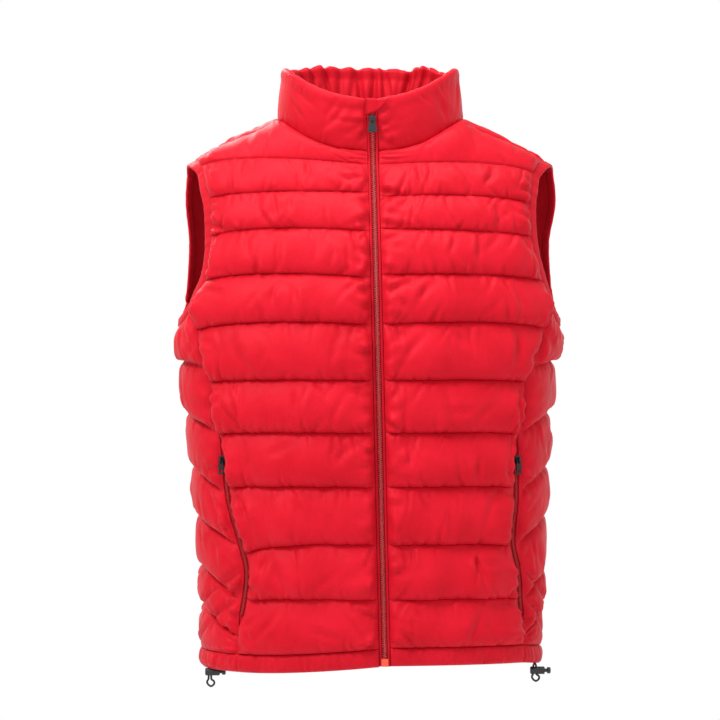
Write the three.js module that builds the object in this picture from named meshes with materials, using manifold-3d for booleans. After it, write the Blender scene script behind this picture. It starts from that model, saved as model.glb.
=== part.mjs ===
// A quilted padded vest with a stand collar, zipped up, in its worn hollow shape.
// Millimetres, +Z up. The front faces -Y, the wearer's left is +X.
// The origin is the centre of the neck hole at the height of the shoulder points.
import * as THREE from 'three';
import { mergeVertices } from 'three/addons/utils/BufferGeometryUtils.js';
import Module from 'manifold-3d';

// Driving dimensions of the cloth
const WALL = 2;
const SEAM_HALF_GAP = 0.3;
const ZIP_HALF_WIDTH = 7.1;
const ZIP_LEAN = { atCollarTop: 2, atHem: 18, collarTopZ: 14, hemZ: -690 };
const HEM_BAND = 22;
const BINDING_WIDTH = 11.4;
const BINDING_STEP = 3;
const EDGE_FALL = 20;
const ROUNDNESS = 2.4;

// Half widths and depths of the worn body of the vest, measured at the quilting lines
const FORM = [
  { z: -30, frontRight: 217, frontLeft: 214, backRight: 238, backLeft: 238, front: 60, back: 90 },
  { z: -60, frontRight: 219, frontLeft: 217, backRight: 240, backLeft: 241, front: 72, back: 97 },
  { z: -100, frontRight: 226, frontLeft: 224, backRight: 241, backLeft: 242, front: 91, back: 106 },
  { z: -146, frontRight: 225, frontLeft: 226, backRight: 238, backLeft: 238, front: 108, back: 112 },
  { z: -203, frontRight: 229, frontLeft: 231, backRight: 238, backLeft: 236, front: 121, back: 114 },
  { z: -262, frontRight: 242, frontLeft: 240, backRight: 242, backLeft: 240, front: 126, back: 112 },
  { z: -330, frontRight: 236, frontLeft: 228, backRight: 236, backLeft: 228, front: 127, back: 106 },
  { z: -395, frontRight: 227, frontLeft: 223, backRight: 227, backLeft: 223, front: 125, back: 102 },
  { z: -460, frontRight: 220, frontLeft: 221, backRight: 220, backLeft: 221, front: 122, back: 102 },
  { z: -532, frontRight: 214, frontLeft: 218, backRight: 214, backLeft: 218, front: 120, back: 105 },
  { z: -600, frontRight: 211, frontLeft: 216, backRight: 211, backLeft: 216, front: 120, back: 110 },
  { z: -660, frontRight: 212, frontLeft: 214, backRight: 212, backLeft: 214, front: 121, back: 114 },
  { z: -700, frontRight: 213, frontLeft: 219, backRight: 213, backLeft: 219, front: 122, back: 117 },
];

// Outer edge of the front panels: the armhole down to about z -245, then the side seam
const FRONT_EDGE = [
  { z: -30, right: 221, left: 219 },
  { z: -52, right: 217, left: 214 },
  { z: -70, right: 209, left: 205 },
  { z: -91, right: 204, left: 201 },
  { z: -111, right: 199, left: 198 },
  { z: -150, right: 197, left: 199 },
  { z: -179, right: 198, left: 204 },
  { z: -207, right: 204, left: 213 },
  { z: -240, right: 219, left: 223 },
  { z: -265, right: 216, left: 217 },
  { z: -290, right: 209, left: 207 },
  { z: -320, right: 200, left: 194 },
  { z: -380, right: 191, left: 186 },
  { z: -419, right: 182, left: 180 },
  { z: -480, right: 175, left: 180 },
  { z: -530, right: 161, left: 176 },
  { z: -567, right: 152, left: 183 },
  { z: -607, right: 156, left: 186 },
  { z: -640, right: 162, left: 189 },
  { z: -700, right: 163, left: 190 },
];

// Outer edge of the back panel, read the same way
const BACK_EDGE = [
  { z: -30, right: 226, left: 226 },
  { z: -52, right: 226, left: 226 },
  { z: -104, right: 230, left: 232 },
  { z: -154, right: 226, left: 224 },
  { z: -213, right: 229, left: 227 },
  { z: -240, right: 232, left: 231 },
  { z: -265, right: 226, left: 224 },
  { z: -320, right: 206, left: 203 },
  { z: -400, right: 190, left: 188 },
  { z: -480, right: 178, left: 178 },
  { z: -560, right: 170, left: 172 },
  { z: -700, right: 165, left: 170 },
];

// Quilting lines of the fronts, from the hem seam up: height at the zip, mid-panel and edge
const FRONT_LINES = [
  { right: [-659, -666, -667], left: [-658, -658, -655] },
  { right: [-599, -598, -601], left: [-599, -598, -601] },
  { right: [-532, -532, -545], left: [-532, -531, -535] },
  { right: [-461, -460, -463], left: [-461, -460, -463] },
  { right: [-395, -394, -397], left: [-395, -394, -397] },
  { right: [-331, -330, -333], left: [-331, -330, -333] },
  { right: [-263, -260, -270], left: [-263, -260, -268] },
  { right: [-206, -201, -209], left: [-203, -202, -209] },
  { right: [-149, -145, -153], left: [-146, -148, -153] },
  { right: [-101, -99, -105], left: [-106, -104, -112] },
  { right: [-65, -56, -62], left: [-65, -62, -72] },
];
const FRONT_PUFF = [11, 13, 13, 13, 13, 13, 11, 9.5, 7.5, 6.5, 5, 4.5];

// Quilting lines of the back: height at the centre and at the outer edges
const BACK_LINES = [
  { centre: -664, edge: -667 }, { centre: -600, edge: -603 }, { centre: -532, edge: -536 },
  { centre: -461, edge: -465 }, { centre: -396, edge: -400 }, { centre: -331, edge: -335 },
  { centre: -266, edge: -269 }, { centre: -206, edge: -209 }, { centre: -150, edge: -153 },
  { centre: -105, edge: -107 }, { centre: -62, edge: -66 },
];
const BACK_PUFF = [11, 13, 13, 13, 13, 13, 11, 9.5, 7.5, 6.5, 6];

// Quilting lines of the side panels, low at the seams and high under the arm
const SIDE_LINES = [
  { seam: -664, side: -668 }, { seam: -648, side: -609 }, { seam: -604, side: -561 },
  { seam: -535, side: -497 }, { seam: -470, side: -436 }, { seam: -397, side: -369 },
  { seam: -316, side: -307 },
];
const SIDE_PUFF = [7, 9, 10, 10, 10, 10, 8];
const ARMHOLE_BOTTOM = -266;

// Neck seam, shoulder seams and collar
const NECK = { halfWidth: 117, centreY: 8, front: 74, back: 74, roundness: 2.2 };
const NECK_HEIGHT = { front: -48, side: -3, back: 5 };
const SHOULDER_TIP = { right: 223, left: 222, y: 12, z: -54 };
const COLLAR_TOP = { halfWidth: 114, front: 84, back: 76, frontZ: 14, sideZ: 59, backZ: 70 };
const COLLAR_PUFF = { outside: 6.5, inside: 4, wall: 3, gather: 1.8, gatherPitch: 23 };

// Pocket openings between the front and side panels
const POCKET = { top: -398, upper: -424, lower: -617, bottom: -640, halfGap: 3.5 };

// Stations across the panels and up one quilted channel
const FRONT_COLUMNS = [0, 0.035, 0.1, 0.2, 0.35, 0.5, 0.65, 0.8, 0.9, 0.965, 1];
const BACK_COLUMNS = [0, 0.03, 0.09, 0.165, 0.235, 0.32, 0.41, 0.5, 0.59, 0.68, 0.765, 0.835, 0.91, 0.97, 1];
const BACK_NECK = { from: 0.235, to: 0.765 };
const SIDE_COLUMNS = [0, 0.12, 0.33, 0.5, 0.67, 0.88, 1];
const CHANNEL_ROWS = [0, 0.2, 0.5];
const SIDE_CHANNEL_ROWS = [0, 0.2, 0.5, 0.75];
const ARMHOLE_CORNER = 6.5;

// Small vector and curve helpers
const point = (x, y, z) => new THREE.Vector3(x, y, z);
const mix = (a, b, t) => a + (b - a) * t;
const clamp = (t) => Math.min(1, Math.max(0, t));
const moved = (from, direction, distance) => from.clone().addScaledVector(direction, distance);
const signedPower = (value, power) => Math.sign(value) * Math.abs(value) ** power;

// Smooth reading of a table whose rows go down in z
function read(table, key, z) {
  const last = table.length - 1;
  if (z >= table[0].z) return table[0][key];
  if (z <= table[last].z) return table[last][key];
  let i = 0;
  while (z < table[i + 1].z) i += 1;
  const slope = (k) => {
    const above = Math.max(0, k - 1);
    const below = Math.min(last, k + 1);
    return (table[below][key] - table[above][key]) / (table[below].z - table[above].z);
  };
  const span = table[i + 1].z - table[i].z;
  const t = (z - table[i].z) / span;
  const smooth = t * t * (3 - 2 * t);
  const start = slope(i) * span * t * (1 - t) ** 2;
  const end = slope(i + 1) * span * t * t * (1 - t);
  return mix(table[i][key], table[i + 1][key], smooth) + start - end;
}

function zipX(z) {
  const t = (ZIP_LEAN.collarTopZ - z) / (ZIP_LEAN.collarTopZ - ZIP_LEAN.hemZ);
  return mix(ZIP_LEAN.atCollarTop, ZIP_LEAN.atHem, t);
}

// Half of the gap between front and side panel: a seam, and a pocket opening lower down
function sideGap(z) {
  const upper = clamp((POCKET.top - z) / (POCKET.top - POCKET.upper));
  const lower = clamp((z - POCKET.bottom) / (POCKET.lower - POCKET.bottom));
  return mix(SEAM_HALF_GAP, POCKET.halfGap, Math.min(upper, lower));
}

// A point of the front or back surface of the body, at a place across and a height
function bodyPoint(face, x, z) {
  const side = x < 0 ? 'Right' : 'Left';
  const width = read(FORM, face + side, z);
  const depth = read(FORM, face, z);
  const reach = Math.min(1, Math.abs(x) / width);
  const y = depth * (1 - reach ** ROUNDNESS) ** (1 / ROUNDNESS);
  return point(x, face === 'front' ? -y : y, z);
}

// Neck seam: part 0 at the centre and 1 at the side, in front or behind
function neckPoint(face, x) {
  const reach = Math.min(1, Math.abs(x) / NECK.halfWidth);
  const depth = (1 - reach ** NECK.roundness) ** (1 / NECK.roundness);
  if (face === 'front') {
    return point(x, NECK.centreY - NECK.front * depth, mix(NECK_HEIGHT.front, NECK_HEIGHT.side, reach ** 2.6));
  }
  return point(x, NECK.centreY + NECK.back * depth, mix(NECK_HEIGHT.back, NECK_HEIGHT.side, reach ** 2));
}

function shoulderPoint(side, part) {
  const sign = side === 'right' ? -1 : 1;
  const x = sign * mix(NECK.halfWidth, SHOULDER_TIP[side], part);
  return point(x, mix(NECK.centreY, SHOULDER_TIP.y, part), mix(NECK_HEIGHT.side, SHOULDER_TIP.z, part));
}

// Curve over the shoulder from the highest full quilting line to the neck or shoulder seam
function overShoulder(low, top, part, lift) {
  const bend = point((low.x + top.x) / 2, mix(low.y, top.y, 0.28), mix(low.z, top.z, lift));
  return new THREE.QuadraticBezierCurve3(low, bend, top).getPoint(part);
}

function lineHeight(heights, u) {
  const [inner, middle, outer] = heights;
  return inner * (1 - u) * (1 - 2 * u) + middle * 4 * u * (1 - u) + outer * u * (2 * u - 1);
}

const TOP_LINE = FRONT_LINES.length - 1;

// Front panels: u from the zip to the armhole or side seam, v counts quilting lines
function frontRow(side, u, v) {
  const k = Math.min(TOP_LINE - 1, Math.floor(v));
  const z = mix(lineHeight(FRONT_LINES[k][side], u), lineHeight(FRONT_LINES[k + 1][side], u), v - k);
  const edgeZ = mix(FRONT_LINES[k][side][2], FRONT_LINES[k + 1][side][2], v - k);
  const sign = side === 'right' ? -1 : 1;
  const inner = zipX(z) + sign * ZIP_HALF_WIDTH;
  const gap = edgeZ < -243 ? sideGap(edgeZ) : 0;
  const outer = sign * (read(FRONT_EDGE, side, edgeZ) - gap);
  return bodyPoint('front', mix(inner, outer, Math.sin(u * 1.25) / Math.sin(1.25)), z);
}

function frontPoint(side, u, v) {
  if (v <= TOP_LINE) return frontRow(side, u, v);
  const low = frontRow(side, u, TOP_LINE);
  const split = 0.6 + 0.5 * Math.max(0, u - 0.5);
  const part = v < TOP_LINE + 1 ? split * (v - TOP_LINE) : mix(split, 1, v - TOP_LINE - 1);
  const sign = side === 'right' ? -1 : 1;
  let top = shoulderPoint(side, 2 * u - 1);
  if (u < 0.5) {
    const inner = zipX(NECK_HEIGHT.front) + sign * ZIP_HALF_WIDTH;
    const angle = 2 * u * Math.PI / 2;
    top = neckPoint('front', mix(inner, sign * NECK.halfWidth, Math.sin(angle) ** (0.9)));
  }
  top.y -= u < 0.5 ? 0 : SEAM_HALF_GAP * Math.min(1, (u - 0.5) * 20);
  return overShoulder(low, top, part, 0.95);
}

// Back panel: u from the right edge to the left edge
function backRow(u, v) {
  const k = Math.min(TOP_LINE - 1, Math.floor(v));
  const across = (2 * u - 1) ** 2;
  const height = (line) => mix(line.centre, line.edge, across);
  const z = mix(height(BACK_LINES[k]), height(BACK_LINES[k + 1]), v - k);
  const edgeZ = mix(BACK_LINES[k].edge, BACK_LINES[k + 1].edge, v - k);
  const gap = edgeZ < -243 ? SEAM_HALF_GAP : 0;
  const bend = Math.sin((2 * u - 1) * 1.2) / Math.sin(1.2);
  const edge = read(BACK_EDGE, bend < 0 ? 'right' : 'left', edgeZ) - gap;
  return bodyPoint('back', bend * edge, z);
}

function backPoint(u, v) {
  if (v <= TOP_LINE) return backRow(u, v);
  let top;
  if (u <= BACK_NECK.from) {
    top = shoulderPoint('right', 1 - u / BACK_NECK.from);
  } else if (u >= BACK_NECK.to) {
    top = shoulderPoint('left', (u - BACK_NECK.to) / (1 - BACK_NECK.to));
  } else {
    const angle = Math.PI * ((u - BACK_NECK.from) / (BACK_NECK.to - BACK_NECK.from) - 0.5);
    top = neckPoint('back', NECK.halfWidth * Math.sin(angle));
  }
  const onNeck = u >= BACK_NECK.from && u <= BACK_NECK.to;
  top.y += onNeck ? 0 : SEAM_HALF_GAP;
  return overShoulder(backRow(u, TOP_LINE), top, v - TOP_LINE, 0.95);
}

// Side panels: u from the front seam round to the back seam
function sidePoint(side, u, v) {
  const across = Math.abs(2 * u - 1);
  const cornerZ = (face) => face(ARMHOLE_CORNER).z;
  const height = (k) => {
    if (k < SIDE_LINES.length) return mix(SIDE_LINES[k].side, SIDE_LINES[k].seam, across ** 1.3);
    const front = cornerZ((row) => frontPoint(side, 1, row));
    const back = cornerZ((row) => backPoint(side === 'right' ? 0 : 1, row));
    return mix(ARMHOLE_BOTTOM, u < 0.5 ? front : back, across ** 2);
  };
  const k = Math.min(SIDE_LINES.length - 1, Math.floor(v));
  const z = mix(height(k), height(k + 1), v - k);
  const sign = side === 'right' ? -1 : 1;
  const key = side === 'right' ? 'Right' : 'Left';
  const width = read(FORM, 'front' + key, z);
  const angleAt = (x) => Math.asin(Math.min(1, x / width) ** (ROUNDNESS / 2));
  const start = angleAt(read(FRONT_EDGE, side, z) + sideGap(z));
  const end = Math.PI - angleAt(read(BACK_EDGE, side, z) + SEAM_HALF_GAP);
  const angle = mix(start, end, u);
  const depth = angle < Math.PI / 2 ? read(FORM, 'front', z) : read(FORM, 'back', z);
  const x = sign * width * Math.sin(angle) ** (2 / ROUNDNESS);
  return point(x, -depth * signedPower(Math.cos(angle), 2 / ROUNDNESS), z);
}

// Outward normal of a surface given as a function of u and v
function normalOf(surface, u, v, outward) {
  const step = 0.004;
  const across = surface(Math.min(1, u + step), v).sub(surface(Math.max(0, u - step), v));
  const up = surface(u, v + step * 4).sub(surface(u, Math.max(0, v - step * 4)));
  return across.cross(up).normalize().multiplyScalar(outward);
}

// A puff rises steeply over the lower line, hangs a little and falls slowly to the upper one
const puffProfile = (t) => Math.sin(Math.PI * clamp(t) ** 0.72) ** 0.7;
const edgeProfile = (distance) => Math.sin(Math.PI / 2 * clamp(distance / EDGE_FALL)) ** 0.8;

// Joins a row of ring sections into one closed body, with strip caps or closed on itself
function loft(sections, closedLoop = false) {
  const size = sections[0].length;
  const positions = sections.flat().flatMap((p) => [p.x, p.y, p.z]);
  const index = [];
  const quad = (a, b, c, d) => index.push(a, b, c, a, c, d);
  const spans = closedLoop ? sections.length : sections.length - 1;
  for (let i = 0; i < spans; i += 1) {
    const here = i * size;
    const next = ((i + 1) % sections.length) * size;
    for (let j = 0; j < size; j += 1) {
      const k = (j + 1) % size;
      quad(here + j, here + k, next + k, next + j);
    }
  }
  if (!closedLoop) {
    const far = (sections.length - 1) * size;
    for (let j = 0; j < size / 2 - 1; j += 1) {
      const [a, b, c, d] = [j, j + 1, size - 2 - j, size - 1 - j];
      if (b !== c) quad(a, d, c, b);
      if (b !== c) quad(far + a, far + b, far + c, far + d);
    }
  }
  let volume = 0;
  const at = (i) => point(positions[3 * i], positions[3 * i + 1], positions[3 * i + 2]);
  for (let i = 0; i < index.length; i += 3) {
    volume += at(index[i]).dot(at(index[i + 1]).cross(at(index[i + 2])));
  }
  if (volume < 0) index.reverse();
  const geometry = new THREE.BufferGeometry();
  geometry.setAttribute('position', new THREE.Float32BufferAttribute(positions, 3));
  geometry.setIndex(index);
  geometry.computeVertexNormals();
  return geometry;
}

// A cloth panel: ring sections with the puffs outside and a plain wall inside
function panel(surface, columns, rows, outward, puff, wall = WALL) {
  return loft(columns.map((u) => {
    const outside = [];
    const inside = [];
    for (const v of rows) {
      const base = surface(u, v);
      const normal = normalOf(surface, u, v, outward);
      outside.push(moved(base, normal, puff(u, v, base)));
      inside.unshift(moved(base, normal, -wall));
    }
    return [...outside, ...inside];
  }));
}

function channelRows(channels, stations = CHANNEL_ROWS) {
  const rows = [];
  for (let k = 0; k < channels; k += 1) rows.push(...stations.map((t) => k + t));
  return [...rows, channels];
}

// Puff heights of the three kinds of panel
function frontPuff(side, u, v, base) {
  const inner = Math.abs(base.x - zipX(base.z)) - ZIP_HALF_WIDTH;
  const outer = base.distanceTo(frontPoint(side, 1, v));
  const edge = edgeProfile(Math.min(inner, outer));
  if (v > TOP_LINE && u < 0.5) return 4 * edge * puffProfile((v - TOP_LINE) / 2) * (0.5 + u);
  const k = Math.min(FRONT_PUFF.length - 1, Math.floor(v));
  return FRONT_PUFF[k] * edge * puffProfile(v - k);
}

function backPuff(u, v, base) {
  const outer = Math.min(base.distanceTo(backPoint(0, v)), base.distanceTo(backPoint(1, v)));
  const k = Math.min(BACK_PUFF.length - 1, Math.floor(v));
  return BACK_PUFF[k] * edgeProfile(outer) * puffProfile(v - k);
}

function sidePuff(side, u, v, base) {
  const outer = Math.min(base.distanceTo(sidePoint(side, 0, v)), base.distanceTo(sidePoint(side, 1, v)));
  const k = Math.min(SIDE_PUFF.length - 1, Math.floor(v));
  return SIDE_PUFF[k] * edgeProfile(outer) * puffProfile(v - k);
}

// The hem tunnel hangs below a panel, on the same surface
function hemBand(surface, columns, outward, lean = 0) {
  const rows = [0, 0.35, 0.7, 1];
  const fullness = [0, 3, 3, 0.8];
  return loft(columns.map((u) => {
    const top = surface(u, 0);
    const normal = normalOf(surface, u, 0, outward).setZ(0).normalize();
    const at = (t) => {
      const z = top.z - 0.5 - t * HEM_BAND;
      return point(top.x + lean * (1 - u) * (zipX(z) - zipX(top.z)), top.y, z);
    };
    const outside = rows.map((t, i) => moved(at(t), normal, fullness[i]));
    const inside = rows.map((t) => moved(at(t), normal, -WALL - 1.5 * Math.sin(Math.PI * t))).reverse();
    return [...outside, ...inside];
  }));
}

// Armhole binding: a folded strip carried round the edges of the three panels
function armholeBinding(side) {
  const front = (u, v) => frontPoint(side, u, v);
  const sidePanel = (u, v) => sidePoint(side, u, v);
  const backEnd = side === 'right' ? 0 : 1;
  const sign = side === 'right' ? -1 : 1;
  const loop = [];
  const add = (surface, u, v, outward) => {
    const at = surface(u, v);
    const last = loop[loop.length - 1];
    if (last && last.at.distanceTo(at) < BINDING_STEP) return;
    loop.push({ at, normal: normalOf(surface, u, v, outward) });
  };
  const frontRows = channelRows(TOP_LINE + 2).filter((v) => v >= ARMHOLE_CORNER).reverse();
  const backRows = channelRows(TOP_LINE + 1).filter((v) => v > ARMHOLE_CORNER && v < TOP_LINE + 1);
  frontRows.forEach((v) => add(front, 1, v, sign));
  SIDE_COLUMNS.slice(1).forEach((u) => add(sidePanel, u, SIDE_LINES.length, sign));
  backRows.forEach((v) => add(backPoint, backEnd, v, -1));
  const hole = point(sign * 232, -8, -150);
  const profile = [
    [0.8, -2.3], [0.8, 0.5], [3.2, 1.2], [BINDING_WIDTH - 1, 0.8], [BINDING_WIDTH, -0.8], [BINDING_WIDTH - 1, -2.5],
  ];
  const count = loop.length;
  const sections = loop.map((station, i) => {
    const before = loop[(i + count - 1) % count];
    const after = loop[(i + 1) % count];
    const normal = before.normal.clone().add(station.normal).add(after.normal).normalize();
    const along = after.at.clone().sub(before.at).normalize();
    const inward = along.cross(normal).normalize();
    if (inward.dot(hole.clone().sub(station.at)) < 0) inward.negate();
    return profile.map(([a, b]) => moved(moved(station.at, inward, a), normal, b));
  });
  return loft(sections, true);
}

// Collar: its lower edge follows the neck edges of the panels, column by column
function collarStations() {
  const corners = [];
  const frontNeck = FRONT_COLUMNS.filter((u) => u <= 0.5);
  const backNeck = BACK_COLUMNS.filter((u) => u > BACK_NECK.from && u < BACK_NECK.to);
  frontNeck.forEach((u) => corners.push(frontPoint('right', u, TOP_LINE + 2)));
  backNeck.forEach((u) => corners.push(backPoint(u, TOP_LINE + 1)));
  frontNeck.reverse().forEach((u) => corners.push(frontPoint('left', u, TOP_LINE + 2)));
  const stations = [corners[0]];
  for (let i = 1; i < corners.length; i += 1) {
    const pieces = Math.max(1, Math.round(corners[i].distanceTo(corners[i - 1]) / 8));
    for (let j = 1; j <= pieces; j += 1) {
      stations.push(corners[i - 1].clone().lerp(corners[i], j / pieces));
    }
  }
  return stations;
}

function collarTop(bottom) {
  const forward = bottom.y < NECK.centreY;
  const reach = clamp(Math.abs(bottom.x) / NECK.halfWidth);
  const lean = forward ? zipX(COLLAR_TOP.frontZ) - zipX(NECK_HEIGHT.front) : 0;
  const x = bottom.x * mix(1, COLLAR_TOP.halfWidth / NECK.halfWidth, reach) + lean * (1 - reach);
  const grow = forward ? COLLAR_TOP.front / NECK.front : COLLAR_TOP.back / NECK.back;
  const z = forward
    ? mix(COLLAR_TOP.frontZ, COLLAR_TOP.sideZ, reach ** 2.1)
    : mix(COLLAR_TOP.backZ, COLLAR_TOP.sideZ, reach ** 2);
  return point(x, NECK.centreY + (bottom.y - NECK.centreY) * grow, z);
}

function collar() {
  const stations = collarStations();
  const rows = [0, 0.15, 0.45, 0.8, 1];
  const count = stations.length;
  let travelled = 0;
  const lengths = stations.map((p, i) => {
    travelled += i ? p.distanceTo(stations[i - 1]) : 0;
    return travelled;
  });
  const sections = stations.map((bottom, i) => {
    const along = stations[Math.min(count - 1, i + 1)].clone().sub(stations[Math.max(0, i - 1)]);
    const normal = point(along.y, -along.x, 0).normalize();
    if (normal.dot(point(bottom.x, bottom.y - NECK.centreY, 0)) < 0) normal.negate();
    const top = collarTop(bottom);
    const start = bottom.clone().setZ(bottom.z + 0.6);
    const edge = edgeProfile(Math.min(lengths[i], travelled - lengths[i]));
    const wave = Math.cos(2 * Math.PI * lengths[i] / COLLAR_PUFF.gatherPitch);
    const at = (h, offset) => moved(start.clone().lerp(top, h), normal, offset);
    const bulge = (h) => Math.sin(Math.PI * h ** 0.8) ** 0.7;
    const outside = rows.map((h) => at(h, edge * (COLLAR_PUFF.outside * bulge(h) + (h === 1 ? 1.5 : 0))));
    const inside = rows.map((h) => {
      const fullness = COLLAR_PUFF.inside * Math.sin(Math.PI * Math.min(h, 0.9)) ** 0.8;
      const gather = COLLAR_PUFF.gather * wave * Math.sin(Math.PI * Math.min(h, 0.85));
      return at(h, -COLLAR_PUFF.wall - edge * (fullness + gather + (h === 1 ? 1 : 0)));
    }).reverse();
    const crest = at(1, -COLLAR_PUFF.wall / 2).setZ(top.z + 3 * edge + 0.3);
    return [...outside, crest, crest.clone().lerp(inside[0], 0.4), ...inside];
  });
  return loft(sections);
}

// Outer face of the cloth beside the front zip, at a height
function zipY(z) {
  if (z <= FRONT_LINES[TOP_LINE].right[0]) return bodyPoint('front', zipX(z), z).y;
  const neck = neckPoint('front', zipX(z));
  const low = bodyPoint('front', zipX(z), FRONT_LINES[TOP_LINE].right[0]);
  if (z < neck.z) return mix(low.y, neck.y, (z - low.z) / (neck.z - low.z));
  const top = collarTop(neck);
  return mix(neck.y, top.y, (z - neck.z) / (top.z - neck.z));
}

// A strip along the front zip: from and to across it, back and front in depth
function zipStrip(across, depth, from, to, steps) {
  const sections = [];
  for (let i = 0; i <= steps; i += 1) {
    const z = mix(from, to, i / steps);
    const at = (x, y) => point(zipX(z) + x, zipY(z) + y, z);
    sections.push([
      at(across[0], depth[0]), at(across[1], depth[0]), at(across[1], depth[1]), at(across[0], depth[1]),
    ]);
  }
  return loft(sections);
}

const HEM_BOTTOM_Z = FRONT_LINES[0].left[0] - 0.5 - HEM_BAND;
const ZIP_TOP_Z = 12;
const RETAINER = { height: 9.5, halfWidth: 4.2 };

// Flap over the zip top: a small folded cloth, widest at its top edge
const GARAGE_COLUMNS = [
  { x: -6.4, top: 17, low: -5 }, { x: -2, top: 17, low: -3 }, { x: 4, top: 16.6, low: -1 },
  { x: 9.5, top: 16, low: 2 }, { x: 14, top: 15.6, low: 6 }, { x: 18, top: 15.2, low: 10 },
  { x: 21.5, top: 14.8, low: 13.4 },
];

function zipGarage() {
  const sections = GARAGE_COLUMNS.map(({ x, top, low }) => {
    const rise = COLLAR_PUFF.outside * edgeProfile(Math.abs(x - zipX(0)) - ZIP_HALF_WIDTH) + 2.4;
    const outside = [];
    const inside = [];
    for (const t of [0, 0.5, 1]) {
      const z = mix(low, top, t);
      const y = zipY(z) - rise + Math.abs(x - zipX(0)) * 0.06;
      outside.push(point(x, y - 1.6, z));
      inside.unshift(point(x, y, z));
    }
    return [...outside, ...inside];
  });
  return loft(sections);
}

// Pocket zip: tapes lying behind the edges of the opening
function pocketZip(side) {
  const surface = (u, v) => bodyPoint('front', (side === 'right' ? -1 : 1) * u, v);
  const sections = [];
  const steps = 14;
  for (let i = 0; i <= steps; i += 1) {
    const z = mix(POCKET.top - 4, POCKET.bottom + 4, i / steps);
    const centre = read(FRONT_EDGE, side, z);
    const sign = side === 'right' ? -1 : 1;
    const at = (x, depth) => {
      const base = surface(x, z);
      const normal = surface(x + 1, z).sub(surface(x - 1, z)).cross(point(0, 0, 1)).normalize();
      return moved(base, normal.multiplyScalar(sign), -depth);
    };
    const half = 6.5;
    sections.push([at(centre - half, 3), at(centre + half, 3), at(centre + half, 4.2), at(centre - half, 4.2)]);
  }
  return loft(sections);
}

// Hardware, drawn about the pull tab's hinge line along X, facing -Y
const library = await Module();
library.setup();

function toSolid(geometry) {
  const bare = geometry.clone();
  bare.deleteAttribute('normal');
  bare.deleteAttribute('uv');
  const merged = mergeVertices(bare, 1e-4);
  return new library.Manifold(new library.Mesh({
    numProp: 3,
    vertProperties: new Float32Array(merged.attributes.position.array),
    triVerts: new Uint32Array(merged.index.array),
  }));
}

function toGeometry(solid) {
  const mesh = solid.getMesh();
  const geometry = new THREE.BufferGeometry();
  geometry.setAttribute('position', new THREE.BufferAttribute(mesh.vertProperties, 3));
  geometry.setIndex(new THREE.BufferAttribute(mesh.triVerts, 1));
  geometry.computeVertexNormals();
  return geometry;
}

// Extrudes a shape drawn in x and z through a depth along y
function plate(shape, depth, frontY) {
  const geometry = new THREE.ExtrudeGeometry(shape, { depth, bevelEnabled: false, curveSegments: 4 });
  geometry.rotateX(Math.PI / 2);
  geometry.translate(0, frontY + depth, 0);
  return geometry;
}

function roundedShape(halfTop, halfBottom, top, bottom, radius) {
  const shape = new THREE.Shape();
  shape.moveTo(-halfTop + radius, top);
  shape.quadraticCurveTo(-halfTop, top, -halfTop, top - radius);
  shape.lineTo(-halfBottom, bottom + radius);
  shape.quadraticCurveTo(-halfBottom, bottom, -halfBottom + radius, bottom);
  shape.lineTo(halfBottom - radius, bottom);
  shape.quadraticCurveTo(halfBottom, bottom, halfBottom, bottom + radius);
  shape.lineTo(halfTop, top - radius);
  shape.quadraticCurveTo(halfTop, top, halfTop - radius, top);
  return shape;
}

function holeIn(shape, halfWidth, top, bottom, radius) {
  shape.holes.push(roundedShape(halfWidth, halfWidth, top, bottom, radius));
  return shape;
}

const SLIDER = { plateFront: 1.2, plateThick: 2.2, halfWidth: 4.2, top: 5, bottom: -5.5 };
const BRIDGE = { reach: 2.9, innerReach: 1.35, front: -2.1, innerFront: -0.95, width: 1.7 };

function sliderBody() {
  const body = roundedShape(SLIDER.halfWidth, SLIDER.halfWidth - 1, SLIDER.top, SLIDER.bottom, 1.6);
  const base = toSolid(plate(body, SLIDER.plateThick, SLIDER.plateFront));
  const arch = new THREE.Shape();
  arch.moveTo(BRIDGE.reach, SLIDER.plateFront + 0.5);
  arch.lineTo(-BRIDGE.reach, SLIDER.plateFront + 0.5);
  arch.lineTo(-BRIDGE.reach, BRIDGE.front + 1);
  arch.quadraticCurveTo(-BRIDGE.reach, BRIDGE.front, -BRIDGE.reach + 1, BRIDGE.front);
  arch.lineTo(BRIDGE.reach - 1, BRIDGE.front);
  arch.quadraticCurveTo(BRIDGE.reach, BRIDGE.front, BRIDGE.reach, BRIDGE.front + 1);
  const inner = new THREE.Path();
  inner.moveTo(BRIDGE.innerReach, SLIDER.plateFront + 0.1);
  inner.lineTo(BRIDGE.innerReach, BRIDGE.innerFront);
  inner.lineTo(-BRIDGE.innerReach, BRIDGE.innerFront);
  inner.lineTo(-BRIDGE.innerReach, SLIDER.plateFront + 0.1);
  arch.holes.push(inner);
  const bridge = new THREE.ExtrudeGeometry(arch, { depth: BRIDGE.width, bevelEnabled: false, curveSegments: 3 });
  bridge.translate(0, 0, -BRIDGE.width / 2);
  bridge.rotateY(Math.PI / 2);
  return toGeometry(base.add(toSolid(bridge)));
}

const PULL = { thick: 1.2, bar: 0.7, eyeHalf: 1.75, eyeEnd: -4.6 };

function pullTab(halfTop, halfBottom, length, ring) {
  const shape = roundedShape(halfTop, halfBottom, PULL.bar, -length, Math.min(2.2, halfTop - 0.5));
  holeIn(shape, PULL.eyeHalf, -PULL.bar, PULL.eyeEnd, 0.6);
  if (ring) holeIn(shape, ring.half, ring.top, ring.bottom, ring.half * 0.9);
  return toGeometry(toSolid(plate(shape, PULL.thick, -PULL.thick / 2)));
}

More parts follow.
